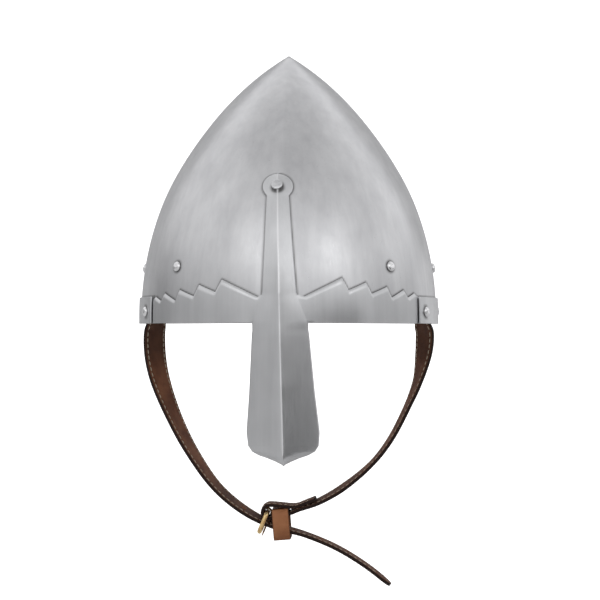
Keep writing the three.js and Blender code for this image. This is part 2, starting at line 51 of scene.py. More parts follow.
middle_pixel = 288.9  # the pixel column that the helmet's middle stands on

sideways = (picture_size / 2 - middle_pixel) * picture_scale
camera_data = bpy.data.cameras.new("camera")
camera_data.sensor_width = 36
camera_data.lens = camera_data.sensor_width * camera_distance / (picture_scale * picture_size)
camera_data.clip_start = 0.05
camera = bpy.data.objects.new("camera", camera_data)
bpy.context.scene.collection.objects.link(camera)
turned = Matrix.Rotation(camera_turn, 4, "Z")
camera.matrix_world = (
    turned
    @ Matrix.Translation((sideways, -camera_distance, camera_height))
    @ Matrix.Rotation(math.pi / 2, 4, "X")
)
bpy.context.scene.camera = camera

# Room
# A pale seamless sheet that lies under the helmet and rises behind it, in a white room that the
# camera sees as white and whose light reaches the steel dimmer, with paler and darker parts of it.
floor_level = -0.26
sheet_half = 2.4
sheet_front = -3.2
sheet_back = 1.6
sheet_curve = 0.7
sheet_top = 2.6


def seamless_sheet():
    """Points and faces of the floor sheet and its sweep up the wall."""
    profile = [(sheet_front, floor_level), (sheet_back, floor_level)]
    for turn in np.radians(np.linspace(7.5, 90, 12)):
        across = sheet_back + sheet_curve * math.sin(turn)
        profile.append((across, floor_level + sheet_curve * (1 - math.cos(turn))))
    profile.append((sheet_back + sheet_curve, sheet_top))
    points = [(side * sheet_half, y, z) for y, z in profile for side in (-1, 1)]
    faces = [(2 * i, 2 * i + 1, 2 * i + 3, 2 * i + 2) for i in range(len(profile) - 1)]
    return points, faces


def mesh_object(name, points, faces):
    """A mesh of these points and faces, and its object, which stands in the scene."""
    mesh = bpy.data.meshes.new(name)
    mesh.from_pydata([tuple(point) for point in points], [], faces)
    made = bpy.data.objects.new(name, mesh)
    bpy.context.scene.collection.objects.link(made)
    return made


def shade_smooth(mesh):
    """Every face of the mesh is shaded smooth."""
    mesh.polygons.foreach_set("use_smooth", [True] * len(mesh.polygons))


def node(tree, kind, **settings):
    """A shader node with its settings and its plain input values."""
    made = tree.nodes.new(kind)
    for name, value in settings.items():
        if name == "inputs":
            for socket, amount in value.items():
                made.inputs[socket].default_value = amount
        else:
            setattr(made, name, value)
    return made


def join(tree, *wires):
    """Wires between nodes: the node that gives, its output, the node that takes, its input."""
    for giver, output, taker, socket in wires:
        tree.links.new(giver.outputs[output], taker.inputs[socket])


def new_material(name):
    """An empty node material, its tree and its output node."""
    material = bpy.data.materials.new(name)
    material.use_nodes = True
    material.node_tree.nodes.clear()
    output = material.node_tree.nodes.new("ShaderNodeOutputMaterial")
    return material, material.node_tree, output


def direction(around, above):
    """Away from the helmet: degrees round it, from the front towards +X, and degrees up."""
    level = math.cos(math.radians(above))
    return Vector((
        math.sin(math.radians(around)) * level,
        -math.cos(math.radians(around)) * level,
        math.sin(math.radians(above)),
    ))


sheet = mesh_object("floor_sheet", *seamless_sheet())
shade_smooth(sheet.data)

paper, paper_tree, paper_out = new_material("pale_paper")
paper_face = node(paper_tree, "ShaderNodeBsdfDiffuse", inputs={"Color": (0.72, 0.72, 0.72, 1)})
paper_glow = node(paper_tree, "ShaderNodeEmission", inputs={"Color": (1, 1, 1, 1), "Strength": 1.0})
paper_ray = node(paper_tree, "ShaderNodeLightPath")
paper_mix = node(paper_tree, "ShaderNodeMixShader")
paper_both = node(paper_tree, "ShaderNodeAddShader")
join(
    paper_tree,
    (paper_ray, "Is Camera Ray", paper_mix, 0),
    (paper_face, 0, paper_mix, 1),
    (paper_face, 0, paper_both, 0),
    (paper_glow, 0, paper_both, 1),
    (paper_both, 0, paper_mix, 2),
    (paper_mix, 0, paper_out, "Surface"),
)
sheet.data.materials.append(paper)

# Light of the room by height: the direction's Z from -1 to 1, and how bright it is there.
room_ramp_stops = [
    (-1.0, 0.5), (-0.35, 0.55), (-0.1, 0.42), (0.02, 0.38), (0.14, 0.48), (0.28, 0.76), (0.5, 0.76),
    (0.85, 0.62), (1.0, 0.42),
]
# Parts of the room: turn round the helmet, height angle, reach in degrees, how much brighter they are.
room_parts = [
    ("front_panel", 0, 14, 45, 0.32),
    ("pale_right", 52, 4, 34, 0.26),
    ("dark_back_left", -140, -5, 45, -0.25),
    ("pale_back_right", 140, -5, 45, 0.1),
    ("pale_back", 180, 30, 72, 0.4),
]

world = bpy.data.worlds.new("room")
bpy.context.scene.world = world
world.use_nodes = True
room_tree = world.node_tree
room_tree.nodes.clear()
room_out = node(room_tree, "ShaderNodeOutputWorld")
room_back = node(room_tree, "ShaderNodeBackground", inputs={"Color": (1, 1, 1, 1), "Strength": 1})
room_dim = node(room_tree, "ShaderNodeBackground", inputs={"Color": (1, 1, 1.01, 1)})
room_ray = node(room_tree, "ShaderNodeLightPath")
room_mix = node(room_tree, "ShaderNodeMixShader")
room_place = node(room_tree, "ShaderNodeTexCoord")
room_split = node(room_tree, "ShaderNodeSeparateXYZ")
room_ramp = node(room_tree, "ShaderNodeValToRGB")
while len(room_ramp.color_ramp.elements) < len(room_ramp_stops):
    room_ramp.color_ramp.elements.new(0.5)
for element, (height, light) in zip(room_ramp.color_ramp.elements, room_ramp_stops):
    element.position = (height + 1) / 2
for element, (height, light) in zip(room_ramp.color_ramp.elements, room_ramp_stops):
    element.color = (light, light, light, 1)
room_half = node(room_tree, "ShaderNodeMath", operation="MULTIPLY_ADD", inputs={1: 0.5, 2: 0.5})
join(
    room_tree,
    (room_place, "Generated", room_split, 0),
    (room_split, "Z", room_half, 0),
    (room_half, 0, room_ramp, 0),
)
room_total = room_ramp
for label, around, above, part_reach, light in room_parts:
    part_near = node(
        room_tree, "ShaderNodeVectorMath", operation="DOT_PRODUCT", inputs={1: direction(around, above)})
    part_share = node(
        room_tree, "ShaderNodeMapRange", interpolation_type="SMOOTHSTEP",
        inputs={"From Min": math.cos(math.radians(part_reach)), "To Max": light})
    part_sum = node(room_tree, "ShaderNodeMath", operation="ADD", label=label)
    join(
        room_tree,
        (room_place, "Generated", part_near, 0),
        (part_near, "Value", part_share, "Value"),
        (room_total, 0, part_sum, 0),
        (part_share, 0, part_sum, 1),
    )
    room_total = part_sum
join(
    room_tree,
    (room_total, 0, room_dim, "Strength"),
    (room_ray, "Is Camera Ray", room_mix, 0),
    (room_dim, 0, room_mix, 1),
    (room_back, 0, room_mix, 2),
    (room_mix, 0, room_out, 0),
)
bpy.context.scene.view_settings.view_transform = "Standard"

# Lamps
# Soft boxes to the left and right of the camera give the two broad bright patches beside the stem and
# the glints on the rivets, and one overhead keeps the point of the bowl light.
lamp_table = [
    # name, turn round the helmet, height angle, distance, width, height, glow
    ("left_box", -33, 27, 1.7, 0.54, 0.54, 0.42),
    ("right_box", 43, 25, 1.7, 0.54, 0.5, 0.55),
    ("top_box", -20, 80, 1.5, 0.8, 0.8, 0.12),
    ("far_left_box", -75, 42, 2.0, 0.5, 1.0, 0.25),
    ("far_right_box", 98, 12, 2.0, 0.4, 0.7, 0.35),
    ("rear_right_box", 140, 0, 1.9, 0.9, 0.5, 0.25),
]
lamp_aim = Vector((0, 0, 0.04))
for name, around, above, distance, width, height, glow in lamp_table:
    lamp_data = bpy.data.lights.new(name, "AREA")
    lamp_data.shape = "RECTANGLE"
    lamp_data.size = width
    lamp_data.size_y = height
    lamp_data.energy = math.pi * width * height * glow
    lamp = bpy.data.objects.new(name, lamp_data)
    bpy.context.scene.collection.objects.link(lamp)
    way = direction(around, above)
    lamp.location = lamp_aim + way * distance
    lamp.rotation_euler = way.to_track_quat("Z", "Y").to_euler()

# A grey card stands low and near on the right, out of the picture, so that the nasal's right face
# turns darker than its left one.
card_half_width = 0.12
card_half_height = 0.14
card_corners = [(-1, -1), (1, -1), (1, 1), (-1, 1)]

card = mesh_object(
    "grey_card",
    [(side * card_half_width, 0, up * card_half_height) for side, up in card_corners],
    [(0, 1, 2, 3)])
card.location = (0.245, -0.32, -0.1)
card.rotation_euler = (0, 0, math.radians(50))
card.visible_camera = False
grey, grey_tree, grey_out = new_material("grey_board")
grey_face = node(grey_tree, "ShaderNodeBsdfDiffuse", inputs={"Color": (0.28, 0.28, 0.28, 1)})
join(grey_tree, (grey_face, 0, grey_out, "Surface"))
card.data.materials.append(grey)

# Skull
# The bowl is raised from 2 mm steel sheet in two halves, welded down the middle and ground smooth,
# which leaves a soft keel at the front and back. Its satin comes from fine hand grinding.
skull_width = 0.210
skull_depth = 0.234
skull_height = 0.192
skull_wall = 0.002
upright_height = 0.006
keel_height = 0.0022
keel_spread = 18.0  # degrees from the middle to where the keel has run out
keel_round = 0.1
rim_arch = 0.003
rim_round = 0.0007

half_width = skull_width / 2
arc_rise = skull_height - upright_height
arc_radius = (arc_rise**2 + half_width**2) / skull_width
side_flat = 0.0014  # the bowl's sides are this much flatter than an arc, from flat_from up
flat_from = 0.082


def side_at(height, out):
    """Half the skin's width at a height, on a skin that lies out from the skull's outer face."""
    rise = np.maximum(0, height - upright_height)
    across = np.sqrt(np.maximum(0, (arc_radius + out) ** 2 - rise**2))
    share = np.clip((height - flat_from) / (skull_height - flat_from), 0, 1)
    return np.maximum(0, half_width - arc_radius + across - side_flat * np.sin(np.pi * share) ** 2)


def point_height(out):
    """Where the two sides of a skin meet."""
    return upright_height + math.sqrt((arc_radius + out) ** 2 - (arc_radius - half_width) ** 2)


def keel_share(angle):
    """1 in the middle of the front and back, and 0 from keel_spread degrees off it."""
    turn = np.abs((np.mod(angle, 360) + 540) % 360 - 180)
    off = np.minimum(turn, 180 - turn)
    softened = np.sqrt(off**2 + keel_round**2) - keel_round
    return np.maximum(0, 1 - softened / keel_spread) ** 2


def rim_height(angle):
    """The rim rises a little over the brow."""
    return rim_arch * ((1 + np.cos(np.radians(angle))) / 2) ** 2


def skin_points(angle, height, out):
    """Points of a skin: angle 0 is the middle of the brow, positive towards +X."""
    angle, height, out = np.broadcast_arrays(angle, height, out)
    side = side_at(height, out)
    share = side / (half_width + out)
    depth = share * (skull_depth / 2 + out + keel_height * keel_share(angle))
    turn = np.radians(angle)
    return np.stack([side * np.sin(turn), -depth * np.cos(turn), height], axis=-1)


def grid_faces(rows, columns, wrap=False):
    """Faces of a grid of points with so many rows and columns, anticlockwise from outside."""
    spans = columns if wrap else columns - 1
    row, column = np.meshgrid(np.arange(rows - 1), np.arange(spans), indexing="ij")
    beside = (column + 1) % columns
    low = row * columns
    cells = np.stack([low + column, low + beside, low + columns + beside, low + columns + column], -1)
    return [tuple(cell) for cell in cells.reshape(-1, 4).tolist()]


def tube_faces(rings, sides):
    """Faces of rings of points that are closed at both ends, anticlockwise from outside."""
    last = (rings - 1) * sides
    ends = [tuple(range(sides - 1, -1, -1)), tuple(range(last, last + sides))]
    return grid_faces(rings, sides, wrap=True) + ends


def add_piece(name, points, faces, material, slot, *nodes, sharp=38):
    """A smooth-shaded mesh object that rides on the helmet and stands for its solid."""
    piece = mesh_object(name, np.asarray(points).reshape(-1, 3).tolist(), faces)
    piece.data.validate()
    shade_smooth(piece.data)
    piece.data.set_sharp_from_angle(angle=math.radians(sharp))
    piece.data.materials.append(material)
    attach(piece, "root")
    if nodes:
        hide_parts(*nodes)
    return piece


def new_group(name, takes, gives):
    """A shader node group with named inputs and outputs, and its two end nodes."""
    group = bpy.data.node_groups.new(name, "ShaderNodeTree")
    for way, sockets in (("INPUT", takes), ("OUTPUT", gives)):
        for label, kind in sockets:
            group.interface.new_socket(name=label, in_out=way, socket_type=kind)
    return group, node(group, "NodeGroupInput"), node(group, "NodeGroupOutput")


def finish_surface(tree, output, tone, gloss, height, strength, relief, inputs):
    """The shader of a material. Its tone, gloss and relief come from these sockets."""
    face = node(tree, "ShaderNodeBsdfPrincipled", inputs=inputs)
    bump = node(tree, "ShaderNodeBump", inputs={"Strength": strength, "Distance": relief})
    tree.links.new(tone, face.inputs["Base Color"])
    if gloss is not None:
        tree.links.new(gloss, face.inputs["Roughness"])
    tree.links.new(height, bump.inputs["Height"])
    join(tree, (bump, 0, face, "Normal"), (face, 0, output, "Surface"))


number = "NodeSocketFloat"
colour = "NodeSocketColor"


def worked_steel():
    """Ground steel: brushing that runs up the piece, soft unevenness from the hammer, faint stains, then the
    painted shade and painted highlight that each piece is given.
    """
    group, taken, given = new_group(
        "worked_steel",
        [("Light Tone", colour), ("Dark Tone", colour), ("Smoothness", number), ("Brushing", number),
         ("Unevenness", number), ("Painted Shade", number), ("Wear", number)],
        [("Tone", colour), ("Roughness", number), ("Height", number)])
    place = node(group, "ShaderNodeTexCoord")
    stretch = node(group, "ShaderNodeMapping", inputs={"Scale": (1, 1, 0.05)})
    cross = node(group, "ShaderNodeMapping", inputs={"Scale": (1, 1, 0.12), "Rotation": (0.5, 0.7, 0)})
    brush = node(group, "ShaderNodeTexNoise", inputs={"Scale": 1500, "Detail": 3, "Roughness": 0.6})
    scratch = node(group, "ShaderNodeTexNoise", inputs={"Scale": 420, "Detail": 1})
    blotch = node(group, "ShaderNodeTexNoise", inputs={"Scale": 30, "Detail": 5, "Roughness": 0.55})
    hammer = node(group, "ShaderNodeTexNoise", inputs={"Scale": 24, "Detail": 1, "Roughness": 0.4})
    streak = node(group, "ShaderNodeTexNoise", inputs={"Scale": 130, "Detail": 3, "Roughness": 0.6})
    join(
        group,
        (place, "Object", stretch, 0),
        (place, "Object", cross, 0),
        (stretch, 0, brush, "Vector"),
        (cross, 0, scratch, "Vector"),
        (place, "Object", blotch, "Vector"),
        (place, "Object", hammer, "Vector"),
        (stretch, 0, streak, "Vector"),
    )

    # Tone: blotches and streaks between the light and the dark, then painted shade, then painted highlight.
    mottle = node(group, "ShaderNodeMath", operation="ADD")
    patch = node(group, "ShaderNodeMapRange", inputs={"From Min": 0.72, "From Max": 1.28})
    tone = node(group, "ShaderNodeMix", data_type="RGBA")
    shaded_tone = node(group, "ShaderNodeMix", data_type="RGBA", inputs={7: (0.045, 0.042, 0.04, 1)})
    highlighted_tone = node(group, "ShaderNodeMix", data_type="RGBA", inputs={7: (0.93, 0.93, 0.94, 1)})
    join(
        group,
        (blotch, "Fac", mottle, 0),
        (streak, "Fac", mottle, 1),
        (mottle, 0, patch, "Value"),
        (patch, 0, tone, 0),
        (taken, "Light Tone", tone, 6),
        (taken, "Dark Tone", tone, 7),
        (taken, "Painted Shade", shaded_tone, 0),
        (tone, 2, shaded_tone, 6),
        (taken, "Wear", highlighted_tone, 0),
        (shaded_tone, 2, highlighted_tone, 6),
        (highlighted_tone, 2, given, "Tone"),
    )

    # Gloss: the brushing makes the steel now smoother, now rougher than its own smoothness.
    gloss = node(group, "ShaderNodeMath", operation="MULTIPLY_ADD", inputs={1: 0.22})
    lower = node(group, "ShaderNodeMath", operation="SUBTRACT", inputs={1: 0.11})
    join(
        group,
        (brush, "Fac", gloss, 0),
        (taken, "Smoothness", lower, 0),
        (lower, 0, gloss, 2),
        (gloss, 0, given, "Roughness"),
    )

    # Relief: brushing, scratches cut into it, and the hammer's long waves.
    lines = node(group, "ShaderNodeMath", operation="MULTIPLY")
    marks = node(group, "ShaderNodeMapRange", inputs={"From Min": 0.62, "From Max": 0.72})
    cuts = node(group, "ShaderNodeMath", operation="MULTIPLY_ADD", inputs={1: -0.35})
    waves = node(group, "ShaderNodeMath", operation="MULTIPLY")
    both = node(group, "ShaderNodeMath", operation="ADD")
    join(
        group,
        (brush, "Fac", lines, 0),
        (taken, "Brushing", lines, 1),
        (scratch, "Fac", marks, "Value"),
        (marks, 0, cuts, 0),
        (lines, 0, cuts, 2),
        (hammer, "Fac", waves, 0),
        (taken, "Unevenness", waves, 1),
        (cuts, 0, both, 0),
        (waves, 0, both, 1),
        (both, 0, given, "Height"),
    )
    return group


steel_group = worked_steel()
steel_relief = 0.00002


def steel_material(name, light, dark, smoothness, brushing, unevenness):
    """A metal material whose tone, gloss and relief come from the worked steel group."""
    material, tree, output = new_material(name)
    worked = node(tree, "ShaderNodeGroup", node_tree=steel_group, inputs={
        "Light Tone": light,
        "Dark Tone": dark,
        "Smoothness": smoothness,
        "Brushing": brushing,
        "Unevenness": unevenness,
    })
    # Painted shade and painted highlight, read from the mesh's own marks.
    shade_mark = node(tree, "ShaderNodeAttribute", attribute_name="grime_and_painted_shade")
    bright = node(tree, "ShaderNodeAttribute", attribute_name="wear")
    join(tree, (shade_mark, "Fac", worked, "Painted Shade"), (bright, "Fac", worked, "Wear"))
    finish_surface(tree, output, worked.outputs["Tone"], worked.outputs["Roughness"],
                   worked.outputs["Height"], 1.0, steel_relief, {"Metallic": 1.0})
    return material


bowl_steel = steel_material(
    "bowl_steel", (0.72, 0.722, 0.732, 1), (0.60, 0.602, 0.615, 1), 0.32, 0.3, 14.0)

skull_columns = 600
outer_rows = 26
inner_rows = 16
band_rows = 104
band_top = 0.105


def skull_skin(out, heights):
    """Rows of points from the rim to the point of one skin."""
    angles = np.arange(skull_columns) * 360 / skull_columns
    shares = heights / skull_height
    shares[-1] = 1 - 1e-5
    rim = rim_height(angles) + rim_round
    top = point_height(out)
    return skin_points(angles[None, :], rim + shares[:, None] * (top - rim), out)


def arc_heights(count, start):
    """Heights at even steps up the bowl's curve."""
    first = math.asin(max(0, start - upright_height) / arc_radius)
    slopes = np.linspace(first, math.asin(arc_rise / arc_radius), count)
    return upright_height + arc_radius * np.sin(slopes)


def skull_mesh():
    """Inner skin from its point down, the rounded rim, and the outer skin up to its point."""
    inside = np.concatenate([[0.0, 0.5 * upright_height], arc_heights(inner_rows, upright_height)])
    outside = np.concatenate([np.linspace(0, band_top, band_rows)[:-1], arc_heights(outer_rows, band_top)])
    inner = skull_skin(-skull_wall, inside)[::-1]
    outer = skull_skin(0, outside)
    angles = np.arange(skull_columns) * 360 / skull_columns
    rim = []
    for turn in (30, 60, 90, 120, 150):
        out = -skull_wall / 2 - math.cos(math.radians(turn)) * skull_wall / 2
        drop = rim_round * (1 - math.sin(math.radians(turn)))
        rim.append(skin_points(angles, rim_height(angles) + drop, out))
    rows = np.concatenate([inner, np.array(rim), outer])
    return rows, tube_faces(len(rows), skull_columns)


bowl = add_piece(
    "helmet_bowl", *skull_mesh(), bowl_steel, "bowl_steel", "skull", sharp=60)

# Front plate
# Brow, stem and nasal are one sheet, cut by hand with a row of saw teeth along the brow, creased down
# the middle and folded for the nasal. The stem leans a little, as it was set.
plate_wall = 0.0012
clearance = 0.00035
brow_floor = 0.0184
brow_reach = 69.0  # degrees from the middle to the end of the brow
brow_tilt = math.radians(0.8)
stem_lean = math.radians(1.56)
lean_foot = -0.0217  # the height at which the leaning stem's line crosses the middle
stem_foot = 0.0214
stem_foot_width = 0.0232
stem_neck_width = 0.015
stem_ridge = 0.0016
brow_ridge = 0.0014  # how much more the crease stands out where it crosses the brow
brow_ridge_start = 0.062  # how far over the rim that starts, and where it is full
brow_ridge_full = 0.028
brow_ridge_end = 0.035  # how far down the nasal it ends
crease_round = 0.012  # how round the crease is, as a share of the strip's half width
fold_start = 0.03  # the nasal's fold starts this far above the rim
fold_share = 0.45  # the fold is full at this share of the nasal's length
finial_height = 0.0937
finial_width = 0.0206
finial_tall = 0.0176
nasal_width = 0.0486
nasal_length = 0.0945
nasal_tip = 0.0012
nasal_fold = 0.008
nasal_throw = math.radians(1.2)
band_out = clearance + plate_wall

# Angle round the brow in degrees, and the edge's height as a share of brow_floor.
brow_edge = [
    (8.5, 1.09), (14.6, 1.38), (22.7, 1.75), (25.1, 1.29), (32.5, 1.57), (34.7, 1.15), (42.1, 1.4),
    (44.1, 1.0), (50.9, 1.28), (53.2, 0.99), (57.5, 1.15), (61.2, 0.97), (65.0, 1.0), (brow_reach, 1.0),
]
# Shares of the nasal's length down from the rim, and of its width.
nasal_edge = [
    (1.0, 0.0), (0.975, 0.2), (0.95, 0.44), (0.93, 0.68), (0.905, 0.86), (0.865, 0.965), (0.77, 1.0),
    (0.5, 0.9), (0.25, 0.83), (0.06, 0.777),
]
nasal_top_share = 0.767
brow_rows = 12
tooth_bevel = 0.0012
tooth_depth = 0.00085
rim_bevel = 0.0006
rim_depth = 0.0005


def smooth_share(value, low, high):
    """0 below low, 1 above high, and an easy curve between."""
    share = np.clip((value - low) / (high - low), 0, 1)
    return share * share * (3 - 2 * share)


def strip_rows():
    """Height and half width of each row of the middle strip, from the nasal's point to the round end."""
    rim = rim_height(0)
    downs = np.array([down for down, _ in nasal_edge])
    widths = np.array([width for _, width in nasal_edge])
    fine = np.concatenate([np.linspace(1, 0.86, 29)[:-1], np.linspace(0.86, 0.02, 43)])
    shares = np.interp(-fine, -downs, widths, right=nasal_top_share)
    low = [(rim - down * nasal_length, max(nasal_tip, share * nasal_width) / 2)
           for down, share in zip(fine, shares)]
    brow = [(rim + (stem_foot - rim) * share,
             (nasal_top_share * nasal_width * (1 - share) + stem_foot_width * share) / 2)
            for share in np.linspace(0, 1, brow_rows + 1)]
    neck = finial_height - 0.35 * finial_tall
    stem = [(stem_foot + (neck - stem_foot) * share,
             (stem_foot_width * (1 - share) + stem_neck_width * share) / 2)
            for share in np.linspace(0, 1, 34)[1:]]
    round_end = [(finial_height + finial_tall / 2 * math.sin(math.radians(turn)),
                  finial_width / 2 * math.cos(math.radians(turn)))
                 for turn in np.linspace(-32, 84, 22)]
    return np.array(low), np.array(brow), np.array(stem + round_end)


low_rows, brow_band, high_rows = strip_rows()
all_rows = np.concatenate([low_rows, brow_band, high_rows])


def sharp_keel(off_crease):
    """The keel again, as the strip takes it: sharp, and in the middle of the strip."""
    return np.maximum(0, 1 - np.abs(off_crease) / keel_spread) ** 2


def strip_points(rows, out, filed):
    """Points of the middle strip, whose free edges are filed back from the outer skin."""
    height = rows[:, 0][:, None]
    half = rows[:, 1][:, None]
    edge = 1 - np.minimum(0.4, rim_bevel / half)
    across = np.concatenate([-np.ones_like(half), edge * across_stops[None, :], np.ones_like(half)], axis=1)
    free = (rows[:, 0] < rim_height(0) - 0.0001) | (rows[:, 0] > stem_foot + 0.0001)
    cut = np.zeros_like(across)
    cut[free, 0] = filed
    cut[free, -1] = filed
    middle = (lean_foot - height) * math.tan(stem_lean)
    angle = np.degrees(np.arcsin((middle + across * half) / side_at(height, out)))
    points = skin_points(angle, height, out - cut)
    side = side_at(height, out)
    crease = np.degrees(np.arcsin(middle / side))
    keel = keel_height * (sharp_keel(angle - crease) - keel_share(angle))
    points[..., 1] -= keel * side / (half_width + out)
    below = rim_height(0) - height
    fold_end = nasal_length * fold_share
    eased = smooth_share(below, -fold_start, fold_end)
    level = np.clip((below + fold_start) / (fold_end + fold_start), 0, 1)
    fold = stem_ridge + (nasal_fold - stem_ridge) * (eased + level) / 2
    near = np.sqrt(across**2 + crease_round**2) - crease_round
    crossing = (smooth_share(below, -brow_ridge_start, -brow_ridge_full)
                * (1 - smooth_share(below, 0, brow_ridge_end)))
    points[..., 1] -= brow_ridge * crossing * (1 - near) ** 2
    points[..., 1] -= fold * (1 - near) + np.maximum(0, below) * math.tan(nasal_throw)
    return points


def edge_angle(side, row):
    """The strip's edge on one row of the brow, in degrees."""
    height, half = brow_band[row]
    across = (side * half + (lean_foot - height) * math.tan(stem_lean)) / side_at(height, 0)
    return abs(math.degrees(math.asin(across)))


def wing_columns():
    """The brow edge's angles and heights, with more columns between its corners."""
    columns = [brow_edge[0]]
    for (angle, share), (next_angle, next_share) in zip(brow_edge, brow_edge[1:]):
        count = max(2, math.ceil((next_angle - angle) / 0.7))
        for step in range(1, count + 1):
            part = step / count
            columns.append((angle + (next_angle - angle) * part, share + (next_share - share) * part))
    return columns


def wing_points(side, out, filed):
    """Points of one wing of the brow, a column after another, with a bevel filed along the top."""
    start_low = edge_angle(side, 0)
    start_high = edge_angle(side, brow_rows)
    columns = wing_columns()
    rows = np.append(np.linspace(0, 1, brow_rows), 1)
    made = []
    for i, (angle, share) in enumerate(columns):
        before, after = columns[max(0, i - 1)], columns[min(len(columns) - 1, i + 1)]
        slopes = [(b[1] - a[1]) * brow_floor / (math.radians(b[0] - a[0]) * half_width)
                  for a, b in ((before, columns[i]), (columns[i], after)) if b[0] > a[0]]
        bevel = tooth_bevel * sum(math.hypot(1, slope) for slope in slopes) / len(slopes)
        low = start_low + (brow_reach - start_low) * (angle - start_high) / (brow_reach - start_high)
        turn = side * (low + (angle - low) * rows)
        tilt = math.tan(brow_tilt) * half_width * math.sin(math.radians(side * angle))
        rim = rim_height(turn)
        top = share * brow_floor + tilt
        heights = rim + (top - bevel - rim) * rows
        heights[-1] = top
        outs = np.full(len(rows), out)
        outs[-1] -= filed
        made.append(skin_points(turn, heights, outs))
    return np.array(made)


across_stops = np.sin(np.radians(np.concatenate([
    np.linspace(-90, -7.5, 12), [-3.6, -1.8, 0, 1.8, 3.6], np.linspace(7.5, 90, 12)])))
strip_columns = len(across_stops) + 2


def front_faces():
    """Faces of the strip and both wings, which share the strip's edge points."""
    columns = strip_columns
    strip_count = len(all_rows) * columns
    first = len(low_rows)
    wing_width = len(wing_columns())
    faces = grid_faces(len(all_rows), columns)

    def vertex(side, row, column):
        edge = 0 if side < 0 else columns - 1
        if column == 0:
            return (first + row) * columns + edge
        start = strip_count + (0 if side < 0 else wing_width * (brow_rows + 1))
        return start + (column - 1) * (brow_rows + 1) + row

    for side in (-1, 1):
        for row in range(brow_rows):
            for column in range(wing_width):
                cell = [vertex(side, row, column), vertex(side, row, column + 1),
                        vertex(side, row + 1, column + 1), vertex(side, row + 1, column)]
                faces.append(tuple(cell if side > 0 else cell[::-1]))
    return faces


def sheet_of(outer, inner, faces):
    """Two skins with the same faces, and a wall round every open edge."""
    count = len(outer)
    edges = set()
    for face in faces:
        for start, end in zip(face, face[1:] + face[:1]):
            if (end, start) in edges:
                edges.remove((end, start))
            else:
                edges.add((start, end))
    walls = [(end, start, count + start, count + end) for start, end in sorted(edges)]
    backs = [tuple(count + index for index in face[::-1]) for face in faces]
    return np.concatenate([outer, inner]), faces + backs + walls


def front_skin(out, filed_edge, filed_teeth):
    """All points of the front plate on one skin."""
    strip = strip_points(all_rows, out, filed_edge).reshape(-1, 3)
    wings = [wing_points(side, out, filed_teeth).reshape(-1, 3) for side in (-1, 1)]
    return np.concatenate([strip, *wings])


def round_edges(piece, width):
    """File the sharp edges of a sheet."""
    bevel = piece.modifiers.new("filed_edges", "BEVEL")
    bevel.width = width
    bevel.segments = 2
    bevel.limit_method = "ANGLE"
    bevel.angle_limit = math.radians(50)
    bevel.harden_normals = False
    bevel.use_clamp_overlap = True


plate_steel = steel_material(
    "plate_steel", (0.715, 0.72, 0.73, 1), (0.625, 0.63, 0.64, 1), 0.34, 0.35, 9.0)
front_plate = add_piece(
    "brow_and_nasal",
    *sheet_of(front_skin(band_out, rim_depth, tooth_depth), front_skin(clearance, 0, 0), front_faces()),
    plate_steel, "plate_steel", "front_plate", sharp=50)
round_edges(front_plate, 0.0002)

# Rear band
# A plain strip of the same sheet round the back of the rim. Its ends step out over the ends of the
# brow plate and are riveted through them.
band_height = 0.0184
band_front = 59.1  # degrees from the middle of the brow to the band's end
overlap_angle = 63.6
step_start = brow_reach + 2
step_end = step_start + 5
overlap_out = band_out + clearance + plate_wall


def band_skin(out):
    """Columns of points round the back, stepped out at both ends."""
    angles = np.concatenate([
        np.linspace(band_front, step_start, 20)[:-1],
        np.linspace(step_start, 360 - step_start, 220),
        np.linspace(360 - step_start, 360 - band_front, 20)[1:],
    ])[:, None]
    off_middle = np.minimum(angles, 360 - angles)
    step = (overlap_out - band_out) * (1 - smooth_share(off_middle, step_start, step_end))
    shares = np.linspace(0, 1, 9)[None, :]
    return skin_points(angles, rim_height(angles) + shares * band_height, out + step)


band_outer = band_skin(band_out)
band_cells = [cell[::-1] for cell in grid_faces(*band_outer.shape[:2])]
rear_band = add_piece(
    "rear_rim_band",
    *sheet_of(band_outer.reshape(-1, 3), band_skin(clearance).reshape(-1, 3), band_cells),
    plate_steel, "plate_steel", "rear_band", sharp=50)
round_edges(rear_band, 0.00035)

# Rivets
# Soft iron rivets, set from inside and domed by hand outside, so no two heads are quite alike.
# They are filed and polished brighter than the sheet.
ring_rivet_height = 0.0405
band_rivet_height = 0.0097
rivet_head = 0.007
rivet_rise = 0.0021
stem_rise_share = 0.55  # the stem's rivet was beaten flatter
rivet_shank = 0.0032
rivet_tail = 0.0054
rivet_tail_rise = 0.001
stem_rivet_head = 0.0077
strap_wall = 0.0024
strap_width = 0.022
wall_bow = (strap_width / 2) ** 2 * half_width / (2 * (skull_depth / 2) ** 2)
rivet_sides = 40

rivet_steel = steel_material(
    "rivet_steel", (0.93, 0.93, 0.935, 1), (0.84, 0.84, 0.85, 1), 0.2, 0.2, 6.0)

stem_steel = steel_material(
    "stem_rivet_steel", (0.74, 0.745, 0.755, 1), (0.6, 0.605, 0.615, 1), 0.3, 0.2, 9.0)


def skin_normal(angle, height):
    """The skull's outward direction."""
    across = skin_points(angle + 1, height, 0) - skin_points(angle - 1, height, 0)
    up = skin_points(angle, height + 0.001, 0) - skin_points(angle, height - 0.001, 0)
    return Vector(np.cross(across, up)).normalized()


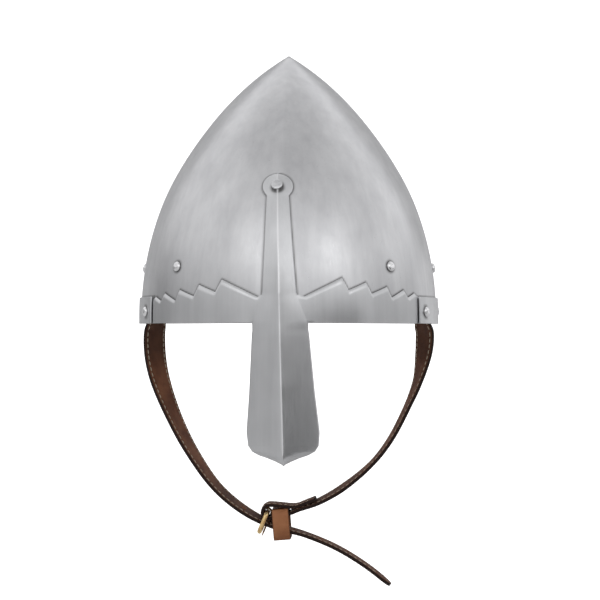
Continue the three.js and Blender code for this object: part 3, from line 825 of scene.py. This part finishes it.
def rivet_piece(name, angle, height, out, grip, head, seed):
    """A lathed rivet, its dome a little flattened by the hammer. The one in the stem is the flattest."""
    on_stem = name.startswith("stem")
    rise = rivet_rise * (stem_rise_share if on_stem else 1)
    hollow = 0.25 * keel_height * float(keel_share(angle))
    seat = out + clearance * 0.25
    back = -(skull_wall + grip + clearance + hollow)
    profile = [(0.00005, back - rivet_tail_rise), (0.3 * rivet_tail, back - 0.85 * rivet_tail_rise),
               (0.46 * rivet_tail, back - 0.4 * rivet_tail_rise), (0.5 * rivet_tail, back),
               (rivet_shank / 2, back), (rivet_shank / 2, seat), (0.49 * head, seat)]
    for turn in np.linspace(4, 88, 12):
        across = head / 2 * math.cos(math.radians(turn))
        profile.append((across, seat + 0.0002 + (rise - 0.0001) * math.sin(math.radians(turn)) ** 0.9))
    chance = np.random.default_rng(seed)
    dents = [(chance.uniform(0, 2 * math.pi), chance.uniform(0.1, 0.6), chance.uniform(0.03, 0.09))
             for _ in range(4)]
    points = []
    for across, along in profile:
        for side in range(rivet_sides):
            turn = 2 * math.pi * side / rivet_sides
            x, y = across * math.cos(turn), across * math.sin(turn)
            sunk = 0
            if along > seat + 0.0001:
                for where, how_far, deep in dents:
                    dx = x / (head / 2) - how_far * math.cos(where)
                    dy = y / (head / 2) - how_far * math.sin(where)
                    sunk += deep * rivet_rise * math.exp(-(dx * dx + dy * dy) / 0.09)
            points.append((x, y, along - sunk))
    turned_out = skin_normal(angle, height).to_track_quat("Z", "Y").to_matrix().to_4x4()
    seated = Matrix.Translation(Vector(skin_points(angle, height, 0))) @ turned_out
    placed = [seated @ Vector(point) for point in points]
    add_piece(name + "_head", placed, tube_faces(len(profile), rivet_sides),
              stem_steel if on_stem else rivet_steel, "rivet_steel", name, sharp=45)


strap_grip = 2 * clearance + wall_bow + strap_wall
finial_angle = math.degrees(math.asin(
    (lean_foot - finial_height) * math.tan(stem_lean) / float(side_at(finial_height, 0))))
rivet_rows = [("stem_rivet", finial_angle, finial_height, band_out + stem_ridge, 0, stem_rivet_head)]
for count, turn in enumerate((-135, -45, 45, 135, 180), 1):
    rivet_rows.append((f"ring_rivet_{count}", turn, ring_rivet_height, 0, 0, rivet_head))
for count, side in enumerate((-1, 1), 1):
    rivet_rows.append((f"strap_rivet_{count}", side * 90, ring_rivet_height, 0, strap_grip, rivet_head))
    rivet_rows.append(
        (f"overlap_rivet_{count}", side * overlap_angle, band_rivet_height, overlap_out, 0, rivet_head))
    rivet_rows.append((f"ear_rivet_{count}", side * 98, band_rivet_height, band_out, 0, rivet_head))
    rivet_rows.append((f"rear_rivet_{count}", side * 140, band_rivet_height, band_out, 0, rivet_head))
for seed, row in enumerate(rivet_rows):
    rivet_piece(*row, seed)

# Painted contact shade
# A dark line of painted shade along the saw teeth, the band and the stem, where they sit on the bowl, and a
# dark ring of painted shade round every rivet.
line_reach = 0.0008
ring_reach = 0.0011
shade_depth = 0.85


def edge_lines():
    """Points along the plates' free edges, as they lie on the bowl."""
    strip = strip_points(all_rows[len(low_rows) + brow_rows:], 0, 0)
    lines = [strip[:, 0], strip[:, -1], strip[-1]]
    lines += [wing_points(side, 0, 0)[:, -1] for side in (-1, 1)]
    turns = np.linspace(band_front, 360 - band_front, 700)
    lines.append(skin_points(turns, rim_height(turns) + band_height, 0))
    return lines


def close_points(line, step=0.0004):
    """More points along a line, no further apart than a step."""
    made = [line[:1]]
    for here, following in zip(line, line[1:]):
        count = max(1, math.ceil(np.linalg.norm(following - here) / step))
        made.append(here + (following - here) * (np.arange(1, count + 1) / count)[:, None])
    return np.concatenate(made)


def paint_shade(piece, lines, rivets_near):
    """Store how dark each point is painted as shade, from how near it lies to the lines and to the rivets'
    edges.
    """
    points = np.empty(len(piece.data.vertices) * 3, dtype=np.float32)
    piece.data.vertices.foreach_get("co", points)
    points = points.reshape(-1, 3).astype(float)
    grime_and_painted_shade = np.zeros(len(points))
    if lines:
        marks = np.concatenate([close_points(line) for line in lines])
        tree = KDTree(len(marks))
        for index, mark in enumerate(marks):
            tree.insert(mark, index)
        tree.balance()
        for index in np.flatnonzero(points[:, 2] < finial_height + finial_tall):
            distance = tree.find(points[index])[2]
            if distance < 3 * line_reach:
                grime_and_painted_shade[index] = max(grime_and_painted_shade[index], math.exp(-(distance / line_reach) ** 2))
    for _, angle, height, out, _, head in rivets_near:
        centre = np.asarray(skin_points(angle, height, out))
        away = np.linalg.norm(points - centre, axis=1) - head / 2
        ring = np.where(away < 0, 1.0, np.exp(-(np.maximum(away, 0) / ring_reach) ** 2))
        grime_and_painted_shade = np.maximum(grime_and_painted_shade, ring * (away > -head))
    layer = piece.data.attributes.new("grime_and_painted_shade", "FLOAT", "POINT")
    layer.data.foreach_set("value", (shade_depth * grime_and_painted_shade).astype(np.float32))


paint_shade(bowl, edge_lines(), [row for row in rivet_rows if row[0].startswith(("ring", "strap"))])
band_edge = skin_points(np.array([band_front, band_front]), np.array([0, band_height]), band_out)
paint_shade(front_plate, [band_edge, band_edge * np.array([-1, 1, 1])],
     [row for row in rivet_rows if row[0].startswith("stem")])
paint_shade(rear_band, [], [row for row in rivet_rows if row[0].startswith(("overlap", "ear", "rear"))])

# A painted highlight down the crease, the whole middle of the strip. Each row: columns off the
# crease, and how bright the painted highlight is on the stem and on the nasal.
crease_highlight = [(0, 0.7, 0.3), (1, 0.55, 0.15), (2, 0.2, 0.05)]
highlight_columns = np.zeros((len(all_rows), strip_columns))
high = all_rows[:, 0] > stem_foot
for off_middle, on_stem, on_nasal in crease_highlight:
    for column in {strip_columns // 2 - off_middle, strip_columns // 2 + off_middle}:
        highlight_columns[:, column] = np.where(high, on_stem, on_nasal)
highlight_values = np.zeros(len(front_plate.data.vertices), dtype=np.float32)
highlight_values[:highlight_columns.size] = highlight_columns.reshape(-1)
front_plate.data.attributes.new("wear", "FLOAT", "POINT").data.foreach_set("value", highlight_values)

# Painted shade on the crease's right face, most of all where it crosses the brow, kept with the contact
# shade. Height over the rim, and how dark it is painted there.
right_face_shade = [(-0.056, 0), (-0.041, 0.12), (-0.027, 0.18), (-0.009, 0.25), (0.011, 0.3), (0.026, 0.24),
             (0.037, 0.15), (0.051, 0.06), (0.062, 0)]
right_shade_rows = np.interp(all_rows[:, 0], [height for height, _ in right_face_shade], [dull for _, dull in right_face_shade])
right_shade_columns = np.concatenate([[0], across_stops, [1]])
right_shade_columns = np.where(right_shade_columns > 0, 1 - np.abs(right_shade_columns) ** 1.6, 0)
# dull holds the painted shade of the crease's right face, for every point of the strip.
dull = np.zeros_like(highlight_values)
dull[:highlight_columns.size] = (right_shade_rows[:, None] * right_shade_columns[None, :]).reshape(-1)
shade_layer = front_plate.data.attributes["grime_and_painted_shade"].data
shade_values = np.zeros_like(highlight_values)
shade_layer.foreach_get("value", shade_values)
shade_layer.foreach_set("value", np.maximum(shade_values, dull))

# Chin strap
# One thickness of dark oiled leather in two halves, each riveted inside the bowl at an ear. Both edges
# are bevelled, burnished nearly black and saddle-stitched in cream thread.
strap_drop = 0.140
strap_top = 0.050
strap_flat = 0.030
fold_radius = 0.0048
gone = skull_wall + 2 * clearance + strap_wall / 2  # from the skull's outer face to the strap's middle

# Routes in the plane y = 0: share of the way out to the skull, share of strap_drop, twist in degrees.
billet_route = [
    (-0.966, -0.15, 10), (-0.956, -0.07, 20), (-0.946, 0, 30), (-0.955, 0.036, 34), (-0.957, 0.09, 35),
    (-0.949, 0.17, 34), (-0.917, 0.28, 30), (-0.82, 0.465, 20), (-0.687, 0.65, 14), (-0.503, 0.834, 9),
    (-0.295, 0.955, 7), (-0.096, 1.024, 3), (0.117, 1.068, 0), (0.344, 1.136, 0), (0.549, 1.226, 0),
    (0.72, 1.322, 0),
]
buckle_route = [
    (0.966, -0.15, 10), (0.956, -0.07, 19), (0.949, 0, 27), (0.962, 0.036, 31), (0.962, 0.09, 31),
    (0.952, 0.157, 27), (0.915, 0.28, 13), (0.848, 0.402, 7), (0.717, 0.585, 5), (0.585, 0.707, 3),
    (0.379, 0.83, 6), (0.21, 0.9, 4), (0.08, 0.936, 0), (0.006, 0.957, 0), (-0.06, 0.972, 0),
]
fold_route = [(-0.06, 0.917), (0.011, 0.922), (0.06, 0.9205), (0.117, 0.9045), (0.191, 0.8835)]


def hanging_point(side, height):
    """Where the middle of the strap lies against the inside of the bowl."""
    return (side * (float(side_at(height, -gone)) - wall_bow), height)


strap_side = hanging_point(1, 0)[0]
fold_centre = (-0.135 * strap_side, -0.948 * strap_drop)


def strap_line(side, route, ending):
    """Control points in the plane of the strap, with the twist at each."""
    points = [hanging_point(side, height) for height in (strap_top, ring_rivet_height, strap_flat)]
    points += [(across * strap_side, -drop * strap_drop) for across, drop, _ in route]
    twists = [0, 0, 0] + [-side * twist for _, _, twist in route] + [0] * len(ending)
    return np.array(points + ending), np.array(twists, dtype=float)


def centripetal(points, twists, per_span=24):
    """A centripetal Catmull-Rom curve through the points, with the twist eased between them."""
    ends = [2 * points[0] - points[1], *points, 2 * points[-1] - points[-2]]
    places, turns = [], []
    for i in range(len(points) - 1):
        p0, p1, p2, p3 = ends[i:i + 4]
        t1 = np.linalg.norm(p1 - p0) ** 0.5
        t2 = t1 + np.linalg.norm(p2 - p1) ** 0.5
        t3 = t2 + np.linalg.norm(p3 - p2) ** 0.5
        for share in np.linspace(0, 1, per_span, endpoint=i == len(points) - 2):
            t = t1 + (t2 - t1) * share
            a1 = (t1 - t) / t1 * p0 + t / t1 * p1
            a2 = (t2 - t) / (t2 - t1) * p1 + (t - t1) / (t2 - t1) * p2
            a3 = (t3 - t) / (t3 - t2) * p2 + (t - t2) / (t3 - t2) * p3
            b1 = (t2 - t) / t2 * a1 + t / t2 * a2
            b2 = (t3 - t) / (t3 - t1) * a2 + (t - t1) / (t3 - t1) * a3
            places.append((t2 - t) / (t2 - t1) * b1 + (t - t1) / (t2 - t1) * b2)
            turns.append(twists[i] + (twists[i + 1] - twists[i]) * share)
    return np.array(places), np.array(turns)


class Ribbon:
    """A strap's middle line by length, with its widthways and outward directions."""

    def __init__(self, points, twists):
        places, turns = centripetal(points, twists)
        steps = np.linalg.norm(np.diff(places, axis=0), axis=1)
        self.run = np.concatenate([[0], np.cumsum(steps)])
        self.length = self.run[-1]
        self.places = places
        padded = np.concatenate([np.repeat(turns[0], 4), turns, np.repeat(turns[-1], 4)])
        self.turns = np.convolve(padded, np.ones(9) / 9, "valid")

    def at(self, where):
        """Places, widthways directions and outward directions at these lengths."""
        where = np.atleast_1d(where)
        x = np.interp(where, self.run, self.places[:, 0])
        z = np.interp(where, self.run, self.places[:, 1])
        near = 0.0006
        dx, dz = [np.interp(where + near, self.run, row) - np.interp(where - near, self.run, row)
                  for row in self.places.T]
        size = np.hypot(dx, dz)
        flat = np.stack([-dz / size, 0 * dx, dx / size], -1)
        turn = np.radians(np.interp(where, self.run, self.turns))[:, None]
        wide = np.array([[0, 1, 0]])
        across = wide * np.cos(turn) + flat * np.sin(turn)
        out = flat * np.cos(turn) - wide * np.sin(turn)
        return np.stack([x, 0 * x, z], -1), across, out


def strap_section(width, wall, bevel, steps=3):
    """A flat section with rounded edges, anticlockwise."""
    points = []
    for sign_u, sign_v, start in ((1, 1, 0), (-1, 1, 90), (-1, -1, 180), (1, -1, 270)):
        for step in range(steps + 1):
            turn = math.radians(start + 90 * step / steps)
            points.append((sign_u * (width / 2 - bevel) + bevel * math.cos(turn),
                           sign_v * (wall / 2 - bevel) + bevel * math.sin(turn)))
    return np.array(points)


def finer_section(section, most):
    """More points along the section's long sides, so that grooves and edges can be told apart."""
    made = []
    for here, following in zip(section, np.roll(section, -1, axis=0)):
        count = max(1, math.ceil(np.linalg.norm(following - here) / most))
        for step in range(count):
            made.append(here + (following - here) * step / count)
    return np.array(made)


def mark_burnish_and_shade(piece, values):
    """Store how burnished each point is, and how dark its painted shade is, for the leather's material."""
    layer = piece.data.attributes.new("burnish_and_shade", "FLOAT", "POINT")
    layer.data.foreach_set("value", np.asarray(values, dtype=np.float32))


def leather_grain():
    """Leather: pores and creases in the surface, darker burnished edges and painted shade, and uneven dye."""
    group, taken, given = new_group(
        "leather_grain",
        [("Dye", colour), ("Worn", colour), ("Edge And Shade", colour), ("Smoothness", number), ("Burnish And Shade", number)],
        [("Tone", colour), ("Roughness", number), ("Height", number)])
    place = node(group, "ShaderNodeTexCoord")
    warp = node(group, "ShaderNodeTexNoise", inputs={"Scale": 500, "Detail": 2})
    bend = node(group, "ShaderNodeVectorMath", operation="MULTIPLY_ADD", inputs={1: (0.0008, 0.0008, 0.0008)})
    pores = node(group, "ShaderNodeTexVoronoi", feature="DISTANCE_TO_EDGE",
                 inputs={"Scale": 1300, "Randomness": 1.0})
    rough = node(group, "ShaderNodeTexNoise", inputs={"Scale": 190, "Detail": 6, "Roughness": 0.65})
    cloud = node(group, "ShaderNodeTexNoise", inputs={"Scale": 60, "Detail": 4, "Roughness": 0.6})
    patch = node(group, "ShaderNodeMapRange", inputs={"From Min": 0.35, "From Max": 0.72})
    dyed = node(group, "ShaderNodeMix", data_type="RGBA")
    edge_and_shade_mix = node(group, "ShaderNodeMix", data_type="RGBA")
    gloss = node(group, "ShaderNodeMath", operation="MULTIPLY_ADD", inputs={1: 0.25})
    cells = node(group, "ShaderNodeMapRange", inputs={"From Min": 0.0, "From Max": 0.25})
    folds = node(group, "ShaderNodeMath", operation="MULTIPLY_ADD", inputs={1: 0.9})
    join(
        group,
        (place, "Object", warp, "Vector"),
        (warp, "Color", bend, 0),
        (place, "Object", bend, 2),
        (bend, 0, pores, "Vector"),
        (place, "Object", rough, "Vector"),
        (place, "Object", cloud, "Vector"),
        (cloud, "Fac", patch, "Value"),
        (patch, 0, dyed, 0),
        (taken, "Dye", dyed, 6),
        (taken, "Worn", dyed, 7),
        (taken, "Burnish And Shade", edge_and_shade_mix, 0),
        (dyed, 2, edge_and_shade_mix, 6),
        (taken, "Edge And Shade", edge_and_shade_mix, 7),
        (edge_and_shade_mix, 2, given, "Tone"),
        (rough, "Fac", gloss, 0),
        (taken, "Smoothness", gloss, 2),
        (gloss, 0, given, "Roughness"),
        (pores, "Distance", cells, "Value"),
        (rough, "Fac", folds, 0),
        (cells, 0, folds, 2),
        (folds, 0, given, "Height"),
    )
    return group


leather_group = leather_grain()


def leather_material(name, dye, worn, edge, smoothness, relief):
    """A leather whose burnished edges and painted shade come from the mesh's own mark."""
    material, tree, output = new_material(name)
    grain = node(tree, "ShaderNodeGroup", node_tree=leather_group, inputs={
        "Dye": dye,
        "Worn": worn,
        "Edge And Shade": edge,
        "Smoothness": smoothness,
    })
    mark = node(tree, "ShaderNodeAttribute", attribute_name="burnish_and_shade")
    join(tree, (mark, "Fac", grain, "Burnish And Shade"))
    finish_surface(tree, output, grain.outputs["Tone"], grain.outputs["Roughness"],
                   grain.outputs["Height"], 0.8, relief, {"Specular IOR Level": 0.16})
    return material


# Its edge tone, near black, colours both the burnished edges and the painted shade.
strap_leather = leather_material(
    "strap_leather", (0.16, 0.057, 0.028, 1), (0.31, 0.128, 0.062, 1), (0.02, 0.011, 0.009, 1),
    0.46, 0.00006)

stitch_inset = 0.0024
groove_width = 0.0009
groove_depth = 0.00022
edge_burnish = 0.0008  # how far in from its edges and ends the leather is burnished
end_burnish = 0.0011
rim_shade = 0.6  # how dark the painted shade is just under the rim, and where that starts and is full
rim_shade_start = -0.038
rim_shade_full = -0.018
buckle_shade = 0.45  # the same painted shade round the buckle
buckle_shade_start = -0.1
buckle_shade_full = -0.12


def punched(piece, cutters):
    """Cut the shapes of the cutters out of a piece, which keeps its marks."""
    for points, faces in cutters:
        punch = mesh_object("punch", points, faces)
        cut = piece.modifiers.new("punched", "BOOLEAN")
        cut.operation = "DIFFERENCE"
        cut.solver = "EXACT"
        cut.object = punch
        whole = piece.evaluated_get(bpy.context.evaluated_depsgraph_get())
        made = bpy.data.meshes.new_from_object(whole)
        piece.modifiers.remove(cut)
        piece.data = made
        bpy.data.objects.remove(punch)


def prism(centre, axis, outline):
    """A cutter: an outline of (u, v) points carried along an axis, which is as long as the cut."""
    beside = Vector((0, 1, 0)) if abs(axis.normalized().y) < 0.7 else Vector((1, 0, 0))
    u_way = axis.cross(beside).normalized()
    v_way = axis.cross(u_way).normalized()
    count = len(outline)
    points = [centre + axis * end + u_way * u + v_way * v for end in (-0.5, 0.5) for u, v in outline]
    faces = [(i, (i + 1) % count, count + (i + 1) % count, count + i) for i in range(count)]
    faces += [tuple(range(count - 1, -1, -1)), tuple(range(count, 2 * count))]
    return points, faces


def ramp(value, start, full):
    """0 at start and before it, 1 at full and past it, and a straight line between."""
    return np.clip((value - start) / (full - start), 0, 1)


def strap_piece(name, ribbon, section, stations, wides, *nodes):
    """Sweep a strap's section along its line, with sewn channels near both edges. Painted shade darkens it
    under the rim and round the buckle."""
    places, across, out = ribbon.at(stations)
    u = section[:, 0][None, :] * wides[:, None]
    v = np.repeat(section[:, 1][None, :], len(stations), axis=0)
    edge_u = strap_width / 2 * wides[:, None]
    sunk = groove_depth * np.exp(-((edge_u - np.abs(u) - stitch_inset) / (groove_width / 2)) ** 2)
    flat = np.abs(section[:, 1]) > strap_wall * 0.45
    v = v - np.sign(v) * sunk * flat[None, :]
    points = places[:, None, :] + across[:, None, :] * u[..., None] + out[:, None, :] * v[..., None]
    faces = [face[::-1] for face in tube_faces(len(stations), len(section))]
    piece = add_piece(name, points, faces, strap_leather, "strap_leather", *nodes, sharp=50)
    height = places[:, 2][:, None]
    ends = np.minimum(stations - stations[0], stations[-1] - stations)[:, None]
    near_edge = 1 - np.clip((edge_u - np.abs(u)) / edge_burnish, 0, 1)
    near_end = 1 - np.clip(ends / end_burnish, 0, 1)
    rim_shadow = rim_shade * ramp(height, rim_shade_start, rim_shade_full)
    buckle_shadow = buckle_shade * ramp(height, buckle_shade_start, buckle_shade_full)
    dark_edge = np.maximum(near_edge, near_end)
    mark_burnish_and_shade(piece, np.maximum(dark_edge, np.maximum(rim_shadow, buckle_shadow)).reshape(-1))
    return piece


fold_arc = [(fold_centre[0] + fold_radius * math.cos(math.radians(turn)),
             fold_centre[1] + fold_radius * math.sin(math.radians(turn)))
            for turn in (265, 235, 205, 175, 145, 115, 92)]
billet = Ribbon(*strap_line(-1, billet_route, []))
buckle_strap = Ribbon(*strap_line(
    1, buckle_route, fold_arc + [(a * strap_side, -d * strap_drop) for a, d in fold_route]))
leather_section = finer_section(strap_section(strap_width, strap_wall, 0.0007), 0.0006)

end_radius = strap_width / 2
body_run = np.arange(0, billet.length - end_radius, 0.0011)
tip_turns = np.radians(np.linspace(0, 86, 16))
tip_run = billet.length - end_radius + end_radius * np.sin(tip_turns)
billet_run = np.concatenate([body_run, tip_run])
billet_wide = np.concatenate([np.ones(len(body_run)), np.cos(tip_turns)])
billet_piece = strap_piece(
    "chin_strap_billet", billet, leather_section, billet_run, billet_wide, "strap_billet")
buckle_run = np.linspace(0, buckle_strap.length, int(buckle_strap.length / 0.0009))
near_piece = strap_piece("chin_strap_near_half", buckle_strap, leather_section, buckle_run,
                         np.ones(len(buckle_run)), "strap_buckle_side")

# Saddle stitching
# Waxed cream thread along both edges of the strap, on both faces: each stitch is its own short length
# of thread, whose ends sink into the leather.
stitch_length = 0.0031
stitch_pitch = 0.0040
thread_width = 0.0008
thread_light = (0.70, 0.62, 0.48, 1)
thread_dark = (0.43, 0.35, 0.26, 1)


def thread_material():
    """Waxed linen thread, twisted, with a little grime."""
    material, tree, output = new_material("cream_thread")
    place = node(tree, "ShaderNodeTexCoord")
    twist = node(tree, "ShaderNodeTexNoise", inputs={"Scale": 2600, "Detail": 2})
    grime_and_painted_shade = node(tree, "ShaderNodeTexNoise", inputs={"Scale": 140, "Detail": 3})
    tone = node(tree, "ShaderNodeMix", data_type="RGBA", inputs={6: thread_light, 7: thread_dark})
    join(
        tree,
        (place, "Object", twist, "Vector"),
        (place, "Object", grime_and_painted_shade, "Vector"),
        (grime_and_painted_shade, "Fac", tone, 0),
    )
    finish_surface(tree, output, tone.outputs[2], None, twist.outputs["Fac"], 0.6, 0.00008,
                   {"Roughness": 0.7})
    return material


cream_thread = thread_material()


def stitching(name, ribbon, start, end):
    """All stitches of one strap half, as one mesh of short bent threads."""
    sides, rings = 6, 7
    points, faces = [], []
    starts = np.arange(start, end - stitch_length, stitch_pitch)
    for face_side in (-1, 1):
        for edge_side in (-1, 1):
            for first in starts:
                run = first + stitch_length * np.linspace(0, 1, rings)
                places, across, out = ribbon.at(run)
                rise = np.sin(np.linspace(0.02, 0.98, rings) * math.pi) ** 0.5
                lift = strap_wall / 2 - groove_depth - thread_width * 0.35 + thread_width * 0.5 * rise
                middle = places + across * edge_side * (strap_width / 2 - stitch_inset)
                middle = middle + out * (face_side * lift)[:, None]
                base = len(points)
                for ring in range(rings):
                    width = thread_width / 2 * (0.55 + 0.45 * rise[ring])
                    for side in range(sides):
                        turn = 2 * math.pi * side / sides
                        offset = across[ring] * math.cos(turn) * 1.15 + out[ring] * math.sin(turn)
                        points.append(middle[ring] + offset * width)
                for ring in range(rings - 1):
                    for side in range(sides):
                        a = base + ring * sides + side
                        b = base + ring * sides + (side + 1) % sides
                        faces.append((a, a + sides, b + sides, b))
                faces.append(tuple(base + side for side in range(sides)))
                faces.append(tuple(base + (rings - 1) * sides + side for side in range(sides - 1, -1, -1)))
    return add_piece(name, points, faces, cream_thread, "strap_leather", sharp=80)


stitching("billet_stitches", billet, 0.004, billet.length - end_radius)
stitching("near_half_stitches", buckle_strap, 0.004, buckle_strap.length - 0.003)

# Buckle
# A rectangle of cast brass wire with a prong that turns on its bar, inside the folded end of the strap.
# The billet comes in under the bar and the prong goes through one of its holes.
wire_width = 0.0033
buckle_length = 0.0176
buckle_swing = math.radians(68)
prong_width = 0.0024
prong_wall = 0.0013

bar_room = fold_radius - strap_wall / 2 - clearance - wire_width / 2
bar = Vector((fold_centre[0] - bar_room * 0.94, 0, fold_centre[1] - bar_room * 0.34))
swing = Vector((-math.cos(buckle_swing), 0, -math.sin(buckle_swing)))
widthways = Vector((0, 1, 0))
reach = buckle_length - wire_width


def brass_material(name, bright, dull):
    """Polished brass, dulled and browned in patches."""
    material, tree, output = new_material(name)
    place = node(tree, "ShaderNodeTexCoord")
    cloud = node(tree, "ShaderNodeTexNoise", inputs={"Scale": 220, "Detail": 5, "Roughness": 0.6})
    fine = node(tree, "ShaderNodeTexNoise", inputs={"Scale": 2400, "Detail": 2})
    patch = node(tree, "ShaderNodeMapRange", inputs={"From Min": 0.42, "From Max": 0.75})
    tone = node(tree, "ShaderNodeMix", data_type="RGBA", inputs={6: bright, 7: dull})
    gloss = node(tree, "ShaderNodeMapRange", inputs={"To Min": 0.16, "To Max": 0.42})
    join(
        tree,
        (place, "Object", cloud, "Vector"),
        (place, "Object", fine, "Vector"),
        (cloud, "Fac", patch, "Value"),
        (patch, 0, tone, 0),
        (cloud, "Fac", gloss, "Value"),
    )
    finish_surface(tree, output, tone.outputs[2], gloss.outputs[0], fine.outputs["Fac"], 0.5, 0.00003,
                   {"Metallic": 1.0})
    return material


old_brass = brass_material("old_brass", (1.0, 0.76, 0.38, 1), (0.66, 0.32, 0.11, 1))
# The prong's brass is a darkened copy of the old brass: painted shade, so that it reads as lying in shadow.
shaded_brass = brass_material("shaded_brass", (0.34, 0.2, 0.09, 1), (0.18, 0.1, 0.05, 1))


def loop_stations(centre, along, beside, length, width, corner, corner_steps=10, side_steps=12):
    """Stations round a rectangle with rounded corners: place, across and out."""
    across = along.cross(beside)
    corners = []
    for quarter, (sign_along, sign_beside) in enumerate(((1, 1), (-1, 1), (-1, -1), (1, -1))):
        for step in range(corner_steps + 1):
            turn = math.pi / 2 * (quarter + step / corner_steps)
            out = along * math.cos(turn) + beside * math.sin(turn)
            place = (centre + along * sign_along * (length / 2 - corner)
                     + beside * sign_beside * (width / 2 - corner) + out * corner)
            corners.append((place, across, out))
    stations = []
    for here, following in zip(corners, corners[1:] + corners[:1]):
        straight = (following[0] - here[0]).length > corner
        for step in range(side_steps if straight else 1):
            share = step / side_steps
            out = here[2].lerp(following[2], share)
            stations.append((here[0].lerp(following[0], share), across, out.normalized()))
    return stations


def sweep_loop(stations, section):
    """A section carried all the way round a loop."""
    points = [place + across * u + out * v for place, across, out in stations for u, v in section]
    round_trip = grid_faces(len(stations) + 1, len(section), wrap=True)
    return points, [tuple(index % len(points) for index in face) for face in round_trip]


def circle(radius, count):
    """So many points evenly round a circle."""
    return [(radius * math.cos(turn), radius * math.sin(turn))
            for turn in np.linspace(0, 2 * math.pi, count + 1)[:-1]]


frame_loop = loop_stations(
    bar + swing * reach / 2, swing, widthways, reach, strap_width + 4 * clearance + wire_width, wire_width)
add_piece("brass_frame", *sweep_loop(frame_loop, circle(wire_width / 2, 24)), old_brass, "brass",
          "buckle_frame")

eye_inside = wire_width / 2 + clearance
eye_outside = eye_inside + prong_wall
prong_end = reach + wire_width
prong_sides = 16


def prong_outline():
    """The prong seen from its side: a wire bent round the bar and run out past the frame."""
    middle = (eye_inside + eye_outside) / 2
    line = [(prong_end - share, middle) for share in np.linspace(0, prong_end, 28)]
    start = math.pi / 2
    end = 2 * math.pi + math.asin(eye_inside / eye_outside) - 0.12
    line += [(middle * math.cos(turn), middle * math.sin(turn)) for turn in np.linspace(start, end, 36)[1:]]
    return np.array(line)


def prong_mesh():
    """An oval wire along the prong's outline, tapered to its tip."""
    line = prong_outline()
    side = swing.cross(widthways)
    points = []
    ahead = np.gradient(line, axis=0)
    ahead /= np.linalg.norm(ahead, axis=1)[:, None]
    for index, (along, off) in enumerate(line):
        taper = min(1.0, 0.45 + index / 9)
        tangent = swing * ahead[index][0] + side * ahead[index][1]
        lift = tangent.cross(widthways).normalized()
        place = bar + swing * along + side * off
        for turn in np.linspace(0, 2 * math.pi, prong_sides + 1)[:-1]:
            points.append(place + widthways * prong_width / 2 * taper * math.cos(turn)
                          + lift * prong_wall / 2 * taper * math.sin(turn))
    return points, tube_faces(len(line), prong_sides)


add_piece("brass_prong", *prong_mesh(), shaded_brass, "brass", "buckle_prong", sharp=60)

# The prong's hole in the billet, the four others punched at even steps, and the slot in the fold.
hole_width = 0.004
hole_spacing = 0.020
shank = bar + swing.cross(widthways) * ((eye_inside + eye_outside) / 2)
runs = np.arange(billet.length / 2, billet.length, 0.0002)
centres, _, outs = billet.at(runs)
offsets = centres - np.array(shank)
offsets -= (offsets @ np.array(swing))[:, None] * np.array(swing)
prong_run = runs[np.argmin(np.linalg.norm(offsets, axis=1))]
hole_round = circle(hole_width / 2, 24)
hole_cutters = []
for step in (-1, 0, 1, 2, 3):
    hole_place, _, hole_out = billet.at(prong_run + step * hole_spacing)
    hole_way = swing if step == 0 else Vector(hole_out[0])
    hole_cutters.append(prism(Vector(hole_place[0]), hole_way * 3 * strap_wall, hole_round))
punched(billet_piece, hole_cutters)
slot_half = prong_width / 2 + clearance
eye_round = circle(eye_outside + clearance, 32)
shank_half = prong_wall / 2 + clearance
shank_slot = [(-shank_half, -slot_half), (shank_half, -slot_half),
              (shank_half, slot_half), (-shank_half, slot_half)]
punched(near_piece, [prism(bar, widthways * 2 * slot_half, eye_round),
                     prism(shank + swing * reach / 2, swing * reach, shank_slot)])

# Keeper
# A loop of smooth tan leather, cut from a thinner hide and butted at the back. It holds the billet
# against the strap, and its upper side runs inside the fold.
keeper_width = 0.012
keeper_tall = 0.022
keeper_wall = 0.0016
keeper_lean = math.radians(4.5)
keeper_drop = 0.0041
keeper_across = -0.05  # where it sits across, as a share of the way out to the skull
keeper_bevel = 0.0004
keeper_burnish = 0.0007
keeper_foot_shade = 0.45

# Its edge tone colours both the burnished edges and the painted shade at the keeper's lower end.
tan_leather = leather_material(
    "tan_leather", (0.37, 0.142, 0.06, 1), (0.48, 0.21, 0.098, 1), (0.07, 0.03, 0.018, 1),
    0.42, 0.00003)
keeper_middle = fold_centre[1] - fold_radius - keeper_drop
keeper_loop = loop_stations(
    Vector((keeper_across * strap_side, 0, keeper_middle)),
    Vector((math.sin(keeper_lean), 0, -math.cos(keeper_lean))), widthways,
    keeper_tall - keeper_wall, strap_width + 4 * clearance + keeper_wall, keeper_wall * 1.2)
keeper_section = finer_section(strap_section(keeper_width, keeper_wall, keeper_bevel), 0.0005)
keeper = add_piece("tan_keeper", *sweep_loop(keeper_loop, keeper_section), tan_leather,
                   "keeper_leather", "keeper", sharp=50)
keeper_near = 1 - np.clip((keeper_width / 2 - np.abs(keeper_section[:, 0])) / keeper_burnish, 0, 1)
keeper_depths = keeper_middle - np.array([place.z for place, _, _ in keeper_loop])
keeper_shade = keeper_foot_shade * np.clip(keeper_depths / (keeper_tall / 2), 0, 1)
mark_burnish_and_shade(keeper, np.maximum(np.tile(keeper_near, len(keeper_loop)),
                              np.repeat(keeper_shade, len(keeper_section))))
